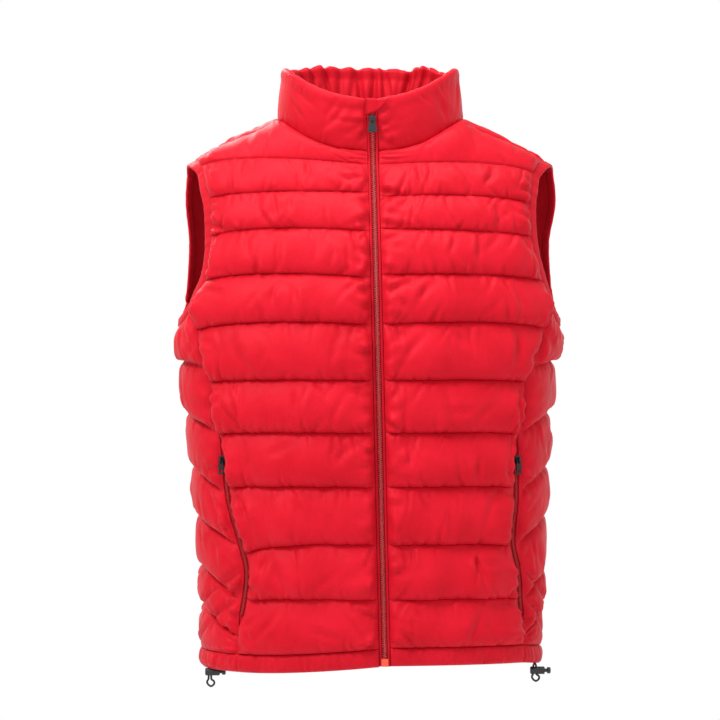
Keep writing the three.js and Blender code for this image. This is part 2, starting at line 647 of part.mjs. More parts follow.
const MAIN_HINGE_Z = -9.5;
const MAIN_PULL = { halfTop: 3.6, halfBottom: 5.6, length: 15.5 };
const POCKET_PULL = { halfTop: 3.1, halfBottom: 3.7, length: 18 };
const POCKET_RING = { half: 1.9, top: -11.6, bottom: -15.6 };
const POCKET_HINGE_Z = -430;
const POCKET_SLIDER_STAND = 2.3;

function mainSliderPlace() {
  return point(zipX(MAIN_HINGE_Z), zipY(MAIN_HINGE_Z) - 1.6 - 0.9 - SLIDER.plateFront - SLIDER.plateThick, MAIN_HINGE_Z);
}

// The pocket sliders face straight out of the body at the top of each opening
function pocketSliderPlace(side) {
  const sign = side === 'right' ? -1 : 1;
  const x = sign * read(FRONT_EDGE, side, POCKET_HINGE_Z);
  const base = bodyPoint('front', x, POCKET_HINGE_Z);
  const along = bodyPoint('front', x + 2, POCKET_HINGE_Z).sub(bodyPoint('front', x - 2, POCKET_HINGE_Z)).normalize();
  const outward = point(along.y, -along.x, 0).normalize();
  const stand = POCKET_SLIDER_STAND + SLIDER.plateFront + SLIDER.plateThick;
  return { at: moved(base, outward, stand), turn: Math.atan2(along.y, along.x) };
}

// Cord locks: a barrel with a blind bore for the spring plunger and a slot for the cord
const LOCK = { radius: 4.8, half: 9, bore: 2.7, boreDepth: 8, slotCentre: -3.2, slotHalf: 3.5, slotDeep: 1.8 };
const PLUNGER = { radius: 4, head: 4.5, travelRoom: 3, stem: 2.2, stemLength: 5 };
const CORD_RADIUS = 1.3;

function alongX(profile) {
  const geometry = new THREE.LatheGeometry(profile.map(([r, x]) => new THREE.Vector2(r, x)), 20);
  geometry.rotateZ(-Math.PI / 2);
  return geometry;
}

function lockBarrel() {
  const { radius, half, bore, boreDepth } = LOCK;
  const body = toSolid(alongX([
    [0, -half], [radius - 1, -half], [radius, -half + 1], [radius, half - 0.8],
    [radius - 0.8, half], [bore, half], [bore, half - boreDepth], [0, half - boreDepth],
  ]));
  const slot = roundedShape(LOCK.slotHalf, LOCK.slotHalf, LOCK.slotDeep, -LOCK.slotDeep, 1.6);
  const cutter = new THREE.ExtrudeGeometry(slot, { depth: 20, bevelEnabled: false, curveSegments: 4 });
  cutter.translate(LOCK.slotCentre, 0, -10);
  return toGeometry(body.subtract(toSolid(cutter)));
}

function lockPlunger() {
  const start = LOCK.half + PLUNGER.travelRoom;
  return alongX([
    [0, LOCK.half - PLUNGER.stemLength], [PLUNGER.stem, LOCK.half - PLUNGER.stemLength], [PLUNGER.stem, start],
    [PLUNGER.radius - 0.6, start], [PLUNGER.radius, start + 0.6], [PLUNGER.radius, start + PLUNGER.head - 1],
    [PLUNGER.radius - 1, start + PLUNGER.head], [0, start + PLUNGER.head],
  ]);
}

// The cord loop leaves the hem, runs through the barrel, turns below it and comes back
const CORD_SPREAD = 1.6;
const LOCKS = { left: { across: 0.2, drop: 7.2 }, right: { across: 0.27, drop: 7.2 } };

function lockPlace(side) {
  const { across, drop } = LOCKS[side];
  const hem = sidePoint(side, across, 0);
  const along = sidePoint(side, across + 0.02, 0).sub(sidePoint(side, across - 0.02, 0)).setZ(0).normalize();
  if (along.x < 0) along.negate();
  const outward = point(along.y, -along.x, 0);
  const exit = moved(hem, outward, -1.2).setZ(hem.z - 0.5 - HEM_BAND);
  return { exit, along, centre: point(exit.x - LOCK.slotCentre, exit.y, exit.z - drop) };
}

function cordLoop(side) {
  const { exit, along, centre } = lockPlace(side);
  const slotX = centre.x + LOCK.slotCentre;
  const strand = (sign) => [
    moved(exit, along, sign * CORD_SPREAD).setZ(exit.z - 0.5),
    point(slotX + sign * CORD_SPREAD, centre.y, centre.z + LOCK.radius - 1),
    point(slotX + sign * CORD_SPREAD, centre.y, centre.z - LOCK.radius + 0.5),
    point(slotX + sign * (CORD_SPREAD + 0.6), centre.y, centre.z - LOCK.radius - 2.5),
    point(slotX + sign * 4.6, centre.y, centre.z - LOCK.radius - 6.5),
    point(slotX + sign * 4.4, centre.y, centre.z - LOCK.radius - 10),
  ];
  const end = point(slotX, centre.y, centre.z - LOCK.radius - 13.2);
  const route = new THREE.CatmullRomCurve3([...strand(-1), end, ...strand(1).reverse()]);
  const section = new THREE.Shape();
  section.absarc(0, 0, CORD_RADIUS, 0, 2 * Math.PI);
  return new THREE.ExtrudeGeometry(section, { steps: 34, extrudePath: route, curveSegments: 4, bevelEnabled: false });
}

// Finishes, one for each kind of piece
const CLOTH = { color: 0xd81f2c, roughness: 0.62, metalness: 0 };
const TAPE = { color: 0xb81522, roughness: 0.8, metalness: 0 };
const METAL = { color: 0x1a1a1c, roughness: 0.38, metalness: 0.7 };
const PLASTIC = { color: 0x151516, roughness: 0.5, metalness: 0 };
const RED_PLASTIC = { color: 0xe2452f, roughness: 0.45, metalness: 0 };

const group = new THREE.Group();

function add(name, geometry, finish, place) {
  const mesh = new THREE.Mesh(geometry, new THREE.MeshStandardMaterial(finish));
  mesh.name = name;
  if (place) {
    mesh.position.copy(place.at);
    mesh.rotation.set(0, place.tilt || 0, place.turn || 0);
  }
  group.add(mesh);
}

for (const side of ['right', 'left']) {
  const sign = side === 'right' ? -1 : 1;
  const front = (u, v) => frontPoint(side, u, v);
  const sidePanel = (u, v) => sidePoint(side, u, v);
  const frontRows = channelRows(TOP_LINE + 2);
  const sideRows = channelRows(SIDE_LINES.length, SIDE_CHANNEL_ROWS);
  const puffFront = (u, v, base) => frontPuff(side, u, v, base);
  const puffSide = (u, v, base) => sidePuff(side, u, v, base);
  add(`front_${side}`, panel(front, FRONT_COLUMNS, frontRows, sign, puffFront), CLOTH);
  add(`side_${side}`, panel(sidePanel, SIDE_COLUMNS, sideRows, sign, puffSide), CLOTH);
  add(`hem_front_${side}`, hemBand(front, FRONT_COLUMNS, sign, 1), CLOTH);
  add(`hem_side_${side}`, hemBand(sidePanel, SIDE_COLUMNS, sign), CLOTH);
  add(`armhole_binding_${side}`, armholeBinding(side), CLOTH);
  const edge = ZIP_HALF_WIDTH - 0.4;
  const across = side === 'right' ? [-edge, -3.3] : [3.3, edge];
  add(`zip_tape_${side}`, zipStrip(across, [0, 1.4], HEM_BOTTOM_Z, ZIP_TOP_Z, 24), TAPE);
  add(`pocket_zip_${side}`, pocketZip(side), TAPE);
  const pocket = pocketSliderPlace(side);
  add(`pocket_slider_${side}`, sliderBody(), METAL, pocket);
  add(`pocket_pull_${side}`,
    pullTab(POCKET_PULL.halfTop, POCKET_PULL.halfBottom, POCKET_PULL.length, POCKET_RING), METAL, pocket);
  const lock = { at: lockPlace(side).centre };
  add(`lock_barrel_${side}`, lockBarrel(), PLASTIC, lock);
  add(`lock_plunger_${side}`, lockPlunger(), PLASTIC, lock);
  add(`hem_cord_${side}`, cordLoop(side), PLASTIC);
}

add('back', panel(backPoint, BACK_COLUMNS, channelRows(TOP_LINE + 1), -1, backPuff), CLOTH);
add('hem_back', hemBand(backPoint, BACK_COLUMNS, -1), CLOTH);
add('collar', collar(), CLOTH);
const chainEnd = HEM_BOTTOM_Z + RETAINER.height + 0.4;
add('zip_chain', zipStrip([-3, 3], [-1.3, 1.6], chainEnd, ZIP_TOP_Z, 24), TAPE);
add('zip_retainer',
  zipStrip([-RETAINER.halfWidth, RETAINER.halfWidth], [-3, -0.3], HEM_BOTTOM_Z, HEM_BOTTOM_Z + RETAINER.height, 2),
  RED_PLASTIC);
add('zip_garage', zipGarage(), CLOTH);
add('zip_slider', sliderBody(), METAL, { at: mainSliderPlace() });
add('zip_pull', pullTab(MAIN_PULL.halfTop, MAIN_PULL.halfBottom, MAIN_PULL.length), METAL, { at: mainSliderPlace() });

export default group;
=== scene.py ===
# %% [markdown]
# A padded vest is a set of flat pieces of light cloth with filling sewn between
# two layers. Here each piece is laid over the same worn form as the solid model
# and then blown up between its quilting lines. The frame is loaded first, because
# every piece has to sit where the solid model holds it.

# %% Load the frame
import math

import bpy
import numpy as np
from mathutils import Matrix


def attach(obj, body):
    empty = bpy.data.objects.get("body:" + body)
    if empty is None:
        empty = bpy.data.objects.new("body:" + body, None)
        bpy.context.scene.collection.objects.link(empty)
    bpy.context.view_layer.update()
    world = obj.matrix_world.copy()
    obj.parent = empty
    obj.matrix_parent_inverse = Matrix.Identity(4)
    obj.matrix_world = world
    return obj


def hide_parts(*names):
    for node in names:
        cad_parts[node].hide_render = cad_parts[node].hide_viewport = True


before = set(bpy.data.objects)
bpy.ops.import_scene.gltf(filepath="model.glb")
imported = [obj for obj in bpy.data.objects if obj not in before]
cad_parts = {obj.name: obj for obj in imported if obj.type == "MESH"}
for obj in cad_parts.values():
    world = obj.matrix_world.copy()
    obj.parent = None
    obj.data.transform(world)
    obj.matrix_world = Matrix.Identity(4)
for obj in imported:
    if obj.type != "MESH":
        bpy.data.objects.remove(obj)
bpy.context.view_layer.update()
VEST = "vest"
MM = 0.001
SIDES = ("right", "left")
SIGN = {"right": -1, "left": 1}

# %% [markdown]
# The photograph was taken level with the chest from about three metres away. The
# camera stands there, so the collar opens slightly and the hem curves down. Its
# lens follows from the width of cloth that the picture takes in.

# %% Camera
SENSOR_WIDTH = 36.0
VIEW_WIDTH = 0.9144
CAMERA_AT = (-0.0127, -3.0, -0.307)
camera_data = bpy.data.cameras.new("camera")
camera_data.sensor_width = SENSOR_WIDTH
camera_data.lens = SENSOR_WIDTH * -CAMERA_AT[1] / VIEW_WIDTH
camera = bpy.data.objects.new("camera", camera_data)
camera.location = CAMERA_AT
camera.rotation_euler = (math.pi / 2, 0, 0)
bpy.context.scene.collection.objects.link(camera)
bpy.context.scene.camera = camera
print("lens:", round(camera_data.lens, 1), "mm")

# %% [markdown]
# The vest has no wearer, so its form is given by half widths and depths at a few
# heights, in millimetres. A table with named columns is easier to read and change
# than a cloud of points. `read` runs a smooth curve through one of its columns.

# %% The worn form
ROUNDNESS = 2.4
FORM = {
    "z": (-30, -60, -100, -146, -203, -262, -330, -395, -460, -532, -600, -660, -700),
    "front_right": (217, 219, 226, 225, 229, 242, 236, 227, 220, 214, 211, 212, 213),
    "front_left": (214, 217, 224, 226, 231, 240, 228, 223, 221, 218, 216, 214, 219),
    "back_right": (238, 240, 241, 238, 238, 242, 236, 227, 220, 214, 211, 212, 213),
    "back_left": (238, 241, 242, 238, 236, 240, 228, 223, 221, 218, 216, 214, 219),
    "front": (60, 72, 91, 108, 121, 126, 127, 125, 122, 120, 120, 121, 122),
    "back": (90, 97, 106, 112, 114, 112, 106, 102, 102, 105, 110, 114, 117),
}
FRONT_EDGE = {
    "z": (-30, -52, -70, -91, -111, -150, -179, -207, -240, -265, -290, -320, -380,
          -419, -480, -530, -567, -607, -640, -700),
    "right": (221, 217, 209, 204, 199, 197, 198, 204, 219, 216, 209, 200, 191,
              182, 175, 161, 152, 156, 162, 163),
    "left": (219, 214, 205, 201, 198, 199, 204, 213, 223, 217, 207, 194, 186,
             180, 180, 176, 183, 186, 189, 190),
}
BACK_EDGE = {
    "z": (-30, -52, -104, -154, -213, -240, -265, -320, -400, -480, -560, -700),
    "right": (226, 226, 230, 226, 229, 232, 226, 206, 190, 178, 170, 165),
    "left": (226, 226, 232, 224, 227, 231, 224, 203, 188, 178, 172, 170),
}


def read(table, key, z):
    z = np.asarray(z, float)
    heights = -np.array(table["z"], float)
    values = np.array(table[key], float)
    slopes = np.gradient(values, heights)
    slopes[1:-1] = (values[2:] - values[:-2]) / (heights[2:] - heights[:-2])
    at = np.clip(-z, heights[0], heights[-1])
    i = np.clip(np.searchsorted(heights, at, side="right") - 1, 0, len(heights) - 2)
    span = heights[i + 1] - heights[i]
    t = (at - heights[i]) / span
    smooth = t * t * (3 - 2 * t)
    ends = slopes[i] * span * t * (1 - t) ** 2 - slopes[i + 1] * span * t * t * (1 - t)
    return values[i] + (values[i + 1] - values[i]) * smooth + ends


def mix(a, b, t):
    return a + (b - a) * t


def stack(x, y, z):
    return np.stack(np.broadcast_arrays(x, y, z), axis=-1).astype(float)


def body_point(face, x, z):
    right = read(FORM, face + "_right", z)
    left = read(FORM, face + "_left", z)
    reach = np.clip(np.abs(x) / np.where(x < 0, right, left), 0, 1)
    depth = read(FORM, face, z) * (1 - reach ** ROUNDNESS) ** (1 / ROUNDNESS)
    return stack(x, -depth if face == "front" else depth, z)


print("form: widest", max(FORM["front_right"]) + max(FORM["front_left"]), "mm")

# %% [markdown]
# The zip leans a little, because a soft vest never hangs quite straight. The neck
# seam is a rounded curve that is low in front, and the shoulder seams run from it
# down to the armholes.

# %% Zip line, neck seam and shoulders
ZIP_HALF_WIDTH = 7.1
SEAM_HALF_GAP = 0.05
NECK = {"half_width": 117, "centre_y": 8, "deep": 74, "roundness": 2.2}
NECK_HEIGHT = {"front": -48, "side": -3, "back": 5}
SHOULDER_TIP = {"right": 223, "left": 222, "y": 12, "z": -54}
POCKET = {"top": -398, "upper": -424, "lower": -617, "bottom": -640, "half_gap": 3.5}


def zip_x(z):
    return mix(2, 18, (14 - np.asarray(z, float)) / (14 + 690))


def side_gap(z):
    upper = (POCKET["top"] - z) / (POCKET["top"] - POCKET["upper"])
    lower = (z - POCKET["bottom"]) / (POCKET["lower"] - POCKET["bottom"])
    return mix(SEAM_HALF_GAP, POCKET["half_gap"], np.clip(np.minimum(upper, lower), 0, 1))


def neck_point(face, x):
    reach = np.clip(np.abs(x) / NECK["half_width"], 0, 1)
    deep = NECK["deep"] * (1 - reach ** NECK["roundness"]) ** (1 / NECK["roundness"])
    if face == "front":
        z = mix(NECK_HEIGHT["front"], NECK_HEIGHT["side"], reach ** 2.6)
        return stack(x, NECK["centre_y"] - deep, z)
    z = mix(NECK_HEIGHT["back"], NECK_HEIGHT["side"], reach ** 2)
    return stack(x, NECK["centre_y"] + deep, z)


def shoulder_point(side, part):
    sign = SIGN[side]
    x = sign * mix(NECK["half_width"], SHOULDER_TIP[side], part)
    y = mix(NECK["centre_y"], SHOULDER_TIP["y"], part)
    return stack(x, y, mix(NECK_HEIGHT["side"], SHOULDER_TIP["z"], part))


def over_shoulder(low, top, part):
    bend = (low + top) / 2
    bend[..., 1] = mix(low[..., 1], top[..., 1], 0.28)
    bend[..., 2] = mix(low[..., 2], top[..., 2], 0.95)
    part = np.asarray(part)[..., None]
    return low * (1 - part) ** 2 + bend * 2 * part * (1 - part) + top * part ** 2


print("neck:", 2 * NECK["half_width"], "mm wide")

# %% [markdown]
# The quilting lines are where a maker stitches through both layers. Each front line
# has a height at the zip, at mid panel and at the outer edge. Every panel becomes a
# function of two numbers: `u` across it and `v` up it, counted in channels.

# %% Panels as surfaces
FRONT_LINES = {
    "right": ((-659, -667, -669), (-599, -598, -601), (-532, -532, -545), (-461, -460, -463),
              (-395, -394, -397), (-331, -330, -333), (-263, -260, -270), (-206, -201, -209),
              (-149, -145, -153), (-101, -99, -105), (-65, -56, -62)),
    "left": ((-658, -658, -660), (-599, -598, -601), (-532, -531, -535), (-461, -460, -463),
             (-395, -394, -397), (-331, -330, -333), (-263, -260, -268), (-203, -202, -209),
             (-146, -148, -153), (-106, -104, -112), (-65, -62, -72)),
}
BACK_LINES = ((-664, -667), (-600, -603), (-532, -536), (-461, -465), (-396, -400), (-331, -335),
              (-266, -269), (-206, -209), (-150, -153), (-105, -107), (-62, -66))
SIDE_LINES = ((-669, -667), (-609, -648), (-561, -604), (-497, -535), (-436, -470), (-369, -397),
              (-307, -316))
ARMHOLE_BOTTOM = -266
ARMHOLE_CORNER = 6.5
BACK_NECK = (0.235, 0.765)
TOP = len(BACK_LINES) - 1
SIDE_SEAM_TOP = -243


def between_lines(lines, v, height):
    k = np.clip(np.floor(v).astype(int), 0, len(lines) - 2)
    table = np.array(lines, float)
    return mix(height(table[k]), height(table[k + 1]), v - k)


def front_row(side, u, v):
    lines = FRONT_LINES[side]

    def height(line):
        a, b, c = line[..., 0], line[..., 1], line[..., 2]
        return a * (1 - u) * (1 - 2 * u) + b * 4 * u * (1 - u) + c * u * (2 * u - 1)

    z = between_lines(lines, v, height)
    edge_z = between_lines(lines, v, lambda line: line[..., 2])
    sign = SIGN[side]
    gap = np.where(edge_z < SIDE_SEAM_TOP, side_gap(edge_z), 0)
    outer = sign * (read(FRONT_EDGE, side, edge_z) - gap)
    inner = zip_x(z) + sign * ZIP_HALF_WIDTH
    return body_point("front", mix(inner, outer, np.sin(u * 1.25) / math.sin(1.25)), z)


def front_surface(side, u, v):
    u, v = np.broadcast_arrays(np.asarray(u, float), np.asarray(v, float))
    low = front_row(side, u, np.minimum(v, TOP))
    split = 0.6 + 0.5 * np.maximum(0, u - 0.5)
    part = np.where(v < TOP + 1, split * (v - TOP), mix(split, 1, v - TOP - 1))
    sign = SIGN[side]
    inner = zip_x(NECK_HEIGHT["front"]) + sign * ZIP_HALF_WIDTH
    angle = np.clip(u, 0, 0.5) * math.pi
    on_neck = neck_point("front", mix(inner, sign * NECK["half_width"], np.sin(angle) ** 0.9))
    on_shoulder = shoulder_point(side, np.clip(2 * u - 1, 0, 1))
    on_shoulder[..., 1] -= SEAM_HALF_GAP * np.clip((u - 0.5) * 20, 0, 1)
    top = np.where((u < 0.5)[..., None], on_neck, on_shoulder)
    return over_shoulder(low, top, np.clip(part, 0, 1))


def back_surface(u, v):
    u, v = np.broadcast_arrays(np.asarray(u, float), np.asarray(v, float))
    across = (2 * u - 1) ** 2
    row = np.minimum(v, TOP)
    z = between_lines(BACK_LINES, row, lambda line: mix(line[..., 0], line[..., 1], across))
    edge_z = between_lines(BACK_LINES, row, lambda line: line[..., 1])
    bend = np.sin((2 * u - 1) * 1.2) / math.sin(1.2)
    edge = np.where(bend < 0, read(BACK_EDGE, "right", edge_z), read(BACK_EDGE, "left", edge_z))
    low = body_point("back", bend * (edge - np.where(edge_z < SIDE_SEAM_TOP, SEAM_HALF_GAP, 0)), z)
    start, end = BACK_NECK
    angle = math.pi * (np.clip((u - start) / (end - start), 0, 1) - 0.5)
    top = neck_point("back", NECK["half_width"] * np.sin(angle))
    right = shoulder_point("right", np.clip(1 - u / start, 0, 1))
    left = shoulder_point("left", np.clip((u - end) / (1 - end), 0, 1))
    top = np.where((u < start)[..., None], right, np.where((u > end)[..., None], left, top))
    top[..., 1] += np.where((u < start) | (u > end), SEAM_HALF_GAP, 0)
    return over_shoulder(low, top, np.clip(v - TOP, 0, 1))


def side_surface(side, u, v):
    u, v = np.broadcast_arrays(np.asarray(u, float), np.asarray(v, float))
    across = np.abs(2 * u - 1)
    front_z = float(front_surface(side, 1.0, ARMHOLE_CORNER)[2])
    back_z = float(back_surface(0.0 if side == "right" else 1.0, ARMHOLE_CORNER)[2])
    row = np.minimum(v, len(SIDE_LINES) - 1)
    z = between_lines(SIDE_LINES, row, lambda line: mix(line[..., 0], line[..., 1], across ** 1.3))
    seam_z = np.where(u < 0.5, FRONT_LINES[side][0][2], BACK_LINES[0][1])
    z = z + (seam_z - SIDE_LINES[0][1]) * across * np.clip(1 - row, 0, 1)
    rim = mix(ARMHOLE_BOTTOM, np.where(u < 0.5, front_z, back_z), across ** 2)
    z = mix(z, rim, np.clip(v - len(SIDE_LINES) + 1, 0, 1))
    sign = SIGN[side]
    width = read(FORM, "front_" + side, z)
    start = read(FRONT_EDGE, side, z) + side_gap(z)
    end = read(BACK_EDGE, side, z) + SEAM_HALF_GAP
    start = np.arcsin(np.clip(start / width, 0, 1) ** (ROUNDNESS / 2))
    end = math.pi - np.arcsin(np.clip(end / width, 0, 1) ** (ROUNDNESS / 2))
    angle = mix(start, end, u)
    deep = np.where(angle < math.pi / 2, read(FORM, "front", z), read(FORM, "back", z))
    y = -deep * np.sign(np.cos(angle)) * np.abs(np.cos(angle)) ** (2 / ROUNDNESS)
    return stack(sign * width * np.sin(angle) ** (2 / ROUNDNESS), y, z)


print("front channels:", TOP + 2, "back channels:", TOP + 1, "side channels:", len(SIDE_LINES))

# %% [markdown]
# Grids of points become meshes with a few small helpers. A ring of sections makes
# any long piece, such as a panel wall, a binding or a zip tape, as one closed body.
# Smooth noise made from seeded sine waves keeps the cloth uneven and gives the same
# vest on every run.

# %% Mesh helpers
def new_object(name, points, faces):
    mesh = bpy.data.meshes.new(name)
    mesh.from_pydata([tuple(p) for p in points], [], faces)
    mesh.update()
    for face in mesh.polygons:
        face.use_smooth = True
    piece = bpy.data.objects.new(name, mesh)
    bpy.context.scene.collection.objects.link(piece)
    return piece


def signed_volume(points, faces):
    quads = np.array([face for face in faces if len(face) == 4])
    a, b, c, d = (points[quads[:, i]] for i in range(4))
    both = np.einsum("ij,ij->i", a, np.cross(b, c)) + np.einsum("ij,ij->i", a, np.cross(c, d))
    return both.sum()


def sweep(name, sections, closed=False):
    """Joins ring sections, an array of sections, ring points and coordinates in mm."""
    sections = np.asarray(sections, float)
    count, size = sections.shape[:2]
    points = sections.reshape(-1, 3) * MM
    faces = []
    for i in range(count if closed else count - 1):
        here, there = i * size, ((i + 1) % count) * size
        for j in range(size):
            k = (j + 1) % size
            faces.append((here + j, here + k, there + k, there + j))
    if not closed:
        last = (count - 1) * size
        for j in range(size // 2 - 1):
            strip = (j, j + 1, size - 2 - j, size - 1 - j)
            faces.append(strip)
            faces.append(tuple(last + k for k in reversed(strip)))
    piece = new_object(name, points, faces)
    if signed_volume(points, faces) < 0:
        piece.data.flip_normals()
    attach(piece, VEST)
    return piece


def waves(seed, count, longest, shortest):
    random = np.random.default_rng(seed)
    lengths = random.uniform(shortest, longest, count)
    phases = random.uniform(0, 2 * math.pi, count)
    turns = random.uniform(-0.5, 0.5, count)

    def at(x, z):
        total = 0
        for length, phase, turn in zip(lengths, phases, turns):
            total = total + np.sin(2 * math.pi * (x + turn * z) / length + phase)
        return total / math.sqrt(count)

    return at


def normals_of(surface, u, v, outward):
    step = 0.003
    across = surface(np.minimum(u + step, 1), v) - surface(np.maximum(u - step, 0), v)
    up = surface(u, v + step * 4) - surface(u, np.maximum(v - step * 4, 0))
    normal = np.cross(across, up) * outward
    return normal / np.maximum(np.linalg.norm(normal, axis=-1, keepdims=True), 1e-9)


print("helpers ready")

# %% [markdown]
# The cloth is a light woven nylon, dyed one red. It has a soft sheen, a fine weave
# that only shows close by, small crinkles over the filling, and a slightly deeper
# tone where the dye gathers. All of that is built from nodes, so no picture is used.

# %% Cloth and tape finishes
def principled(name, colour, roughness, metallic=0.0, sheen=0.0):
    material = bpy.data.materials.new(name)
    material.use_nodes = True
    shader = material.node_tree.nodes["Principled BSDF"]
    shader.inputs["Base Color"].default_value = (*colour, 1)
    shader.inputs["Roughness"].default_value = roughness
    shader.inputs["Metallic"].default_value = metallic
    shader.inputs["Sheen Weight"].default_value = sheen
    return material, material.node_tree, shader


def noise(tree, scale, detail=3.0, stretch=(1, 1, 1)):
    coordinates = tree.nodes.new("ShaderNodeTexCoord")
    mapping = tree.nodes.new("ShaderNodeMapping")
    mapping.inputs["Scale"].default_value = stretch
    texture = tree.nodes.new("ShaderNodeTexNoise")
    texture.inputs["Scale"].default_value = scale
    texture.inputs["Detail"].default_value = detail
    tree.links.new(coordinates.outputs["Object"], mapping.inputs["Vector"])
    tree.links.new(mapping.outputs["Vector"], texture.inputs["Vector"])
    return texture.outputs["Fac"]


def tint(tree, shader, factor, low, high):
    ramp = tree.nodes.new("ShaderNodeValToRGB")
    ramp.color_ramp.elements[0].position = 0.3
    ramp.color_ramp.elements[0].color = (*low, 1)
    ramp.color_ramp.elements[1].position = 0.7
    ramp.color_ramp.elements[1].color = (*high, 1)
    tree.links.new(factor, ramp.inputs["Fac"])
    tree.links.new(ramp.outputs["Color"], shader.inputs["Base Color"])


def bump(tree, shader, height, strength, distance, before=None):
    node = tree.nodes.new("ShaderNodeBump")
    node.inputs["Strength"].default_value = strength
    node.inputs["Distance"].default_value = distance
    tree.links.new(height, node.inputs["Height"])
    if before:
        tree.links.new(before.outputs["Normal"], node.inputs["Normal"])
    tree.links.new(node.outputs["Normal"], shader.inputs["Normal"])
    return node


def weave(tree, pitch):
    coordinates = tree.nodes.new("ShaderNodeTexCoord")
    total = None
    for direction in ("X", "Z"):
        wave = tree.nodes.new("ShaderNodeTexWave")
        wave.bands_direction = direction
        wave.inputs["Scale"].default_value = 0.31 / pitch
        wave.inputs["Distortion"].default_value = 0.4
        tree.links.new(coordinates.outputs["Object"], wave.inputs["Vector"])
        if total is None:
            total = wave.outputs["Fac"]
        else:
            add = tree.nodes.new("ShaderNodeMath")
            add.operation = "ADD"
            tree.links.new(total, add.inputs[0])
            tree.links.new(wave.outputs["Fac"], add.inputs[1])
            total = add.outputs["Value"]
    return total


def cloth_finish(name, deep, bright, roughness=0.5, crinkle=0.5):
    material, tree, shader = principled(name, bright, roughness, sheen=0.05)
    shader.inputs["Sheen Roughness"].default_value = 0.4
    shader.inputs["Specular IOR Level"].default_value = 0.3
    shader.inputs["Specular Tint"].default_value = (1.0, 0.22, 0.28, 1)
    shader.inputs["Sheen Tint"].default_value = (1.0, 0.3, 0.35, 1)
    tint(tree, shader, noise(tree, 26.0), deep, bright)
    threads = bump(tree, shader, weave(tree, 0.0005), 0.12, 0.0002)
    crinkles = bump(tree, shader, noise(tree, 150.0, 4.0, (1, 1, 0.55)), crinkle, 0.0011, threads)
    bump(tree, shader, noise(tree, 420.0, 2.0), 0.2, 0.0004, crinkles)
    return material


RED = (0.53, 0.006, 0.017)
DEEP_RED = (0.46, 0.004, 0.012)
red_cloth = cloth_finish("red_cloth", DEEP_RED, RED)
red_binding = cloth_finish("red_binding", (0.45, 0.004, 0.012), (0.52, 0.006, 0.017), 0.55, 0.35)
red_tape = cloth_finish("red_zip_tape", (0.40, 0.004, 0.011), (0.47, 0.005, 0.014), 0.7, 0.2)
print("cloth finishes: 3")

# %% [markdown]
# A quilted channel is a long soft pillow. Its filling sinks, so it is fullest low
# down and hangs a little over the stitch line below. Real stitching also gathers the
# cloth: short puckers run out from each line, and longer slack folds cross a channel
# here and there. All of them go into the mesh, because they change the outline and
# the shading.

# %% Padding
WALL = 2.0
FOLD_DEPTH = 2.0
PUFF = {
    "front": (12, 15, 15.5, 15.5, 15.5, 15, 13.5, 11.5, 9.5, 8, 6, 5),
    "back": (12, 15, 15, 15, 15, 15, 13, 11.5, 9.5, 8, 7),
    "side": (5.5, 7, 7.5, 7.5, 8, 8.5, 8),
}


def puff_profile(t):
    return np.sin(math.pi * np.clip(t, 0, 1) ** 0.7) ** 0.62


def edge_profile(distance, fall=12.0):
    return np.sin(math.pi / 2 * np.clip(distance / fall, 0, 1)) ** 0.6


def fold(a, b, start, angle, length, width, depth, bend=0.0, both_ways=False):
    """One crease: a valley with a soft ridge beside it, from start in the direction of angle."""
    da, db = a - start[0], b - start[1]
    forward = da * math.cos(angle) + db * math.sin(angle)
    aside = db * math.cos(angle) - da * math.sin(angle) + bend * forward ** 2 / length
    valley = np.exp(-(aside / width) ** 2)
    ridge = np.exp(-((aside - 2.2 * width) / (1.5 * width)) ** 2)
    reach = np.exp(-(forward / length) ** 2)
    if not both_ways:
        reach = reach / (1 + np.exp(-(forward + width) * 1.5))
    return depth * reach * (valley - 0.5 * ridge)


def channel_folds(a, b, span, rise, random):
    total = np.zeros_like(a)
    for edge, upward in ((0.0, 1), (rise, -1)):
        place = random.uniform(0, 12)
        while place < span:
            angle = upward * (math.pi / 2 + random.normal(0, 0.45))
            length = random.uniform(5, 11) if random.random() < 0.7 else random.uniform(12, 26)
            total += fold(a, b, (place, edge), angle, length, random.uniform(1.6, 2.9),
                          random.uniform(0.6, 2.1), random.uniform(-0.2, 0.2))
            place += random.gamma(2.0, 7.5)
    for end, angle in ((0.0, 0.0), (span, math.pi)):
        for _ in range(max(2, int(rise / 5.5))):
            height = random.uniform(0.08, 0.92) * rise
            spread = (height / rise - 0.5) * 1.0 + random.normal(0, 0.4)
            total += fold(a, b, (end, height), angle + (spread if angle == 0 else -spread),
                          random.uniform(8, 30), random.uniform(2.3, 3.7), random.uniform(0.7, 2.2),
                          random.uniform(-0.2, 0.2))
    for _ in range(max(2, int(span / 30))):
        centre = (random.uniform(0.05, 0.95) * span, random.uniform(0.3, 0.8) * rise)
        angle = math.pi / 2 + random.normal(0, 0.6)
        total += fold(a, b, centre, angle, random.uniform(8, 24), random.uniform(2.2, 5.0),
                      random.uniform(0.5, 1.9), random.uniform(-0.15, 0.15), both_ways=True)
    return total


def rows_of(channels, per_channel):
    step = np.arange(per_channel) / per_channel
    eased = 0.3 * step + 0.7 * (0.5 - 0.5 * np.cos(math.pi * step))
    rows = [k + eased for k in range(channels)]
    return np.append(np.concatenate(rows), channels)


def columns_of(count):
    step = np.linspace(0, 1, count)
    return 0.6 * step + 0.4 * (0.5 - 0.5 * np.cos(math.pi * step))


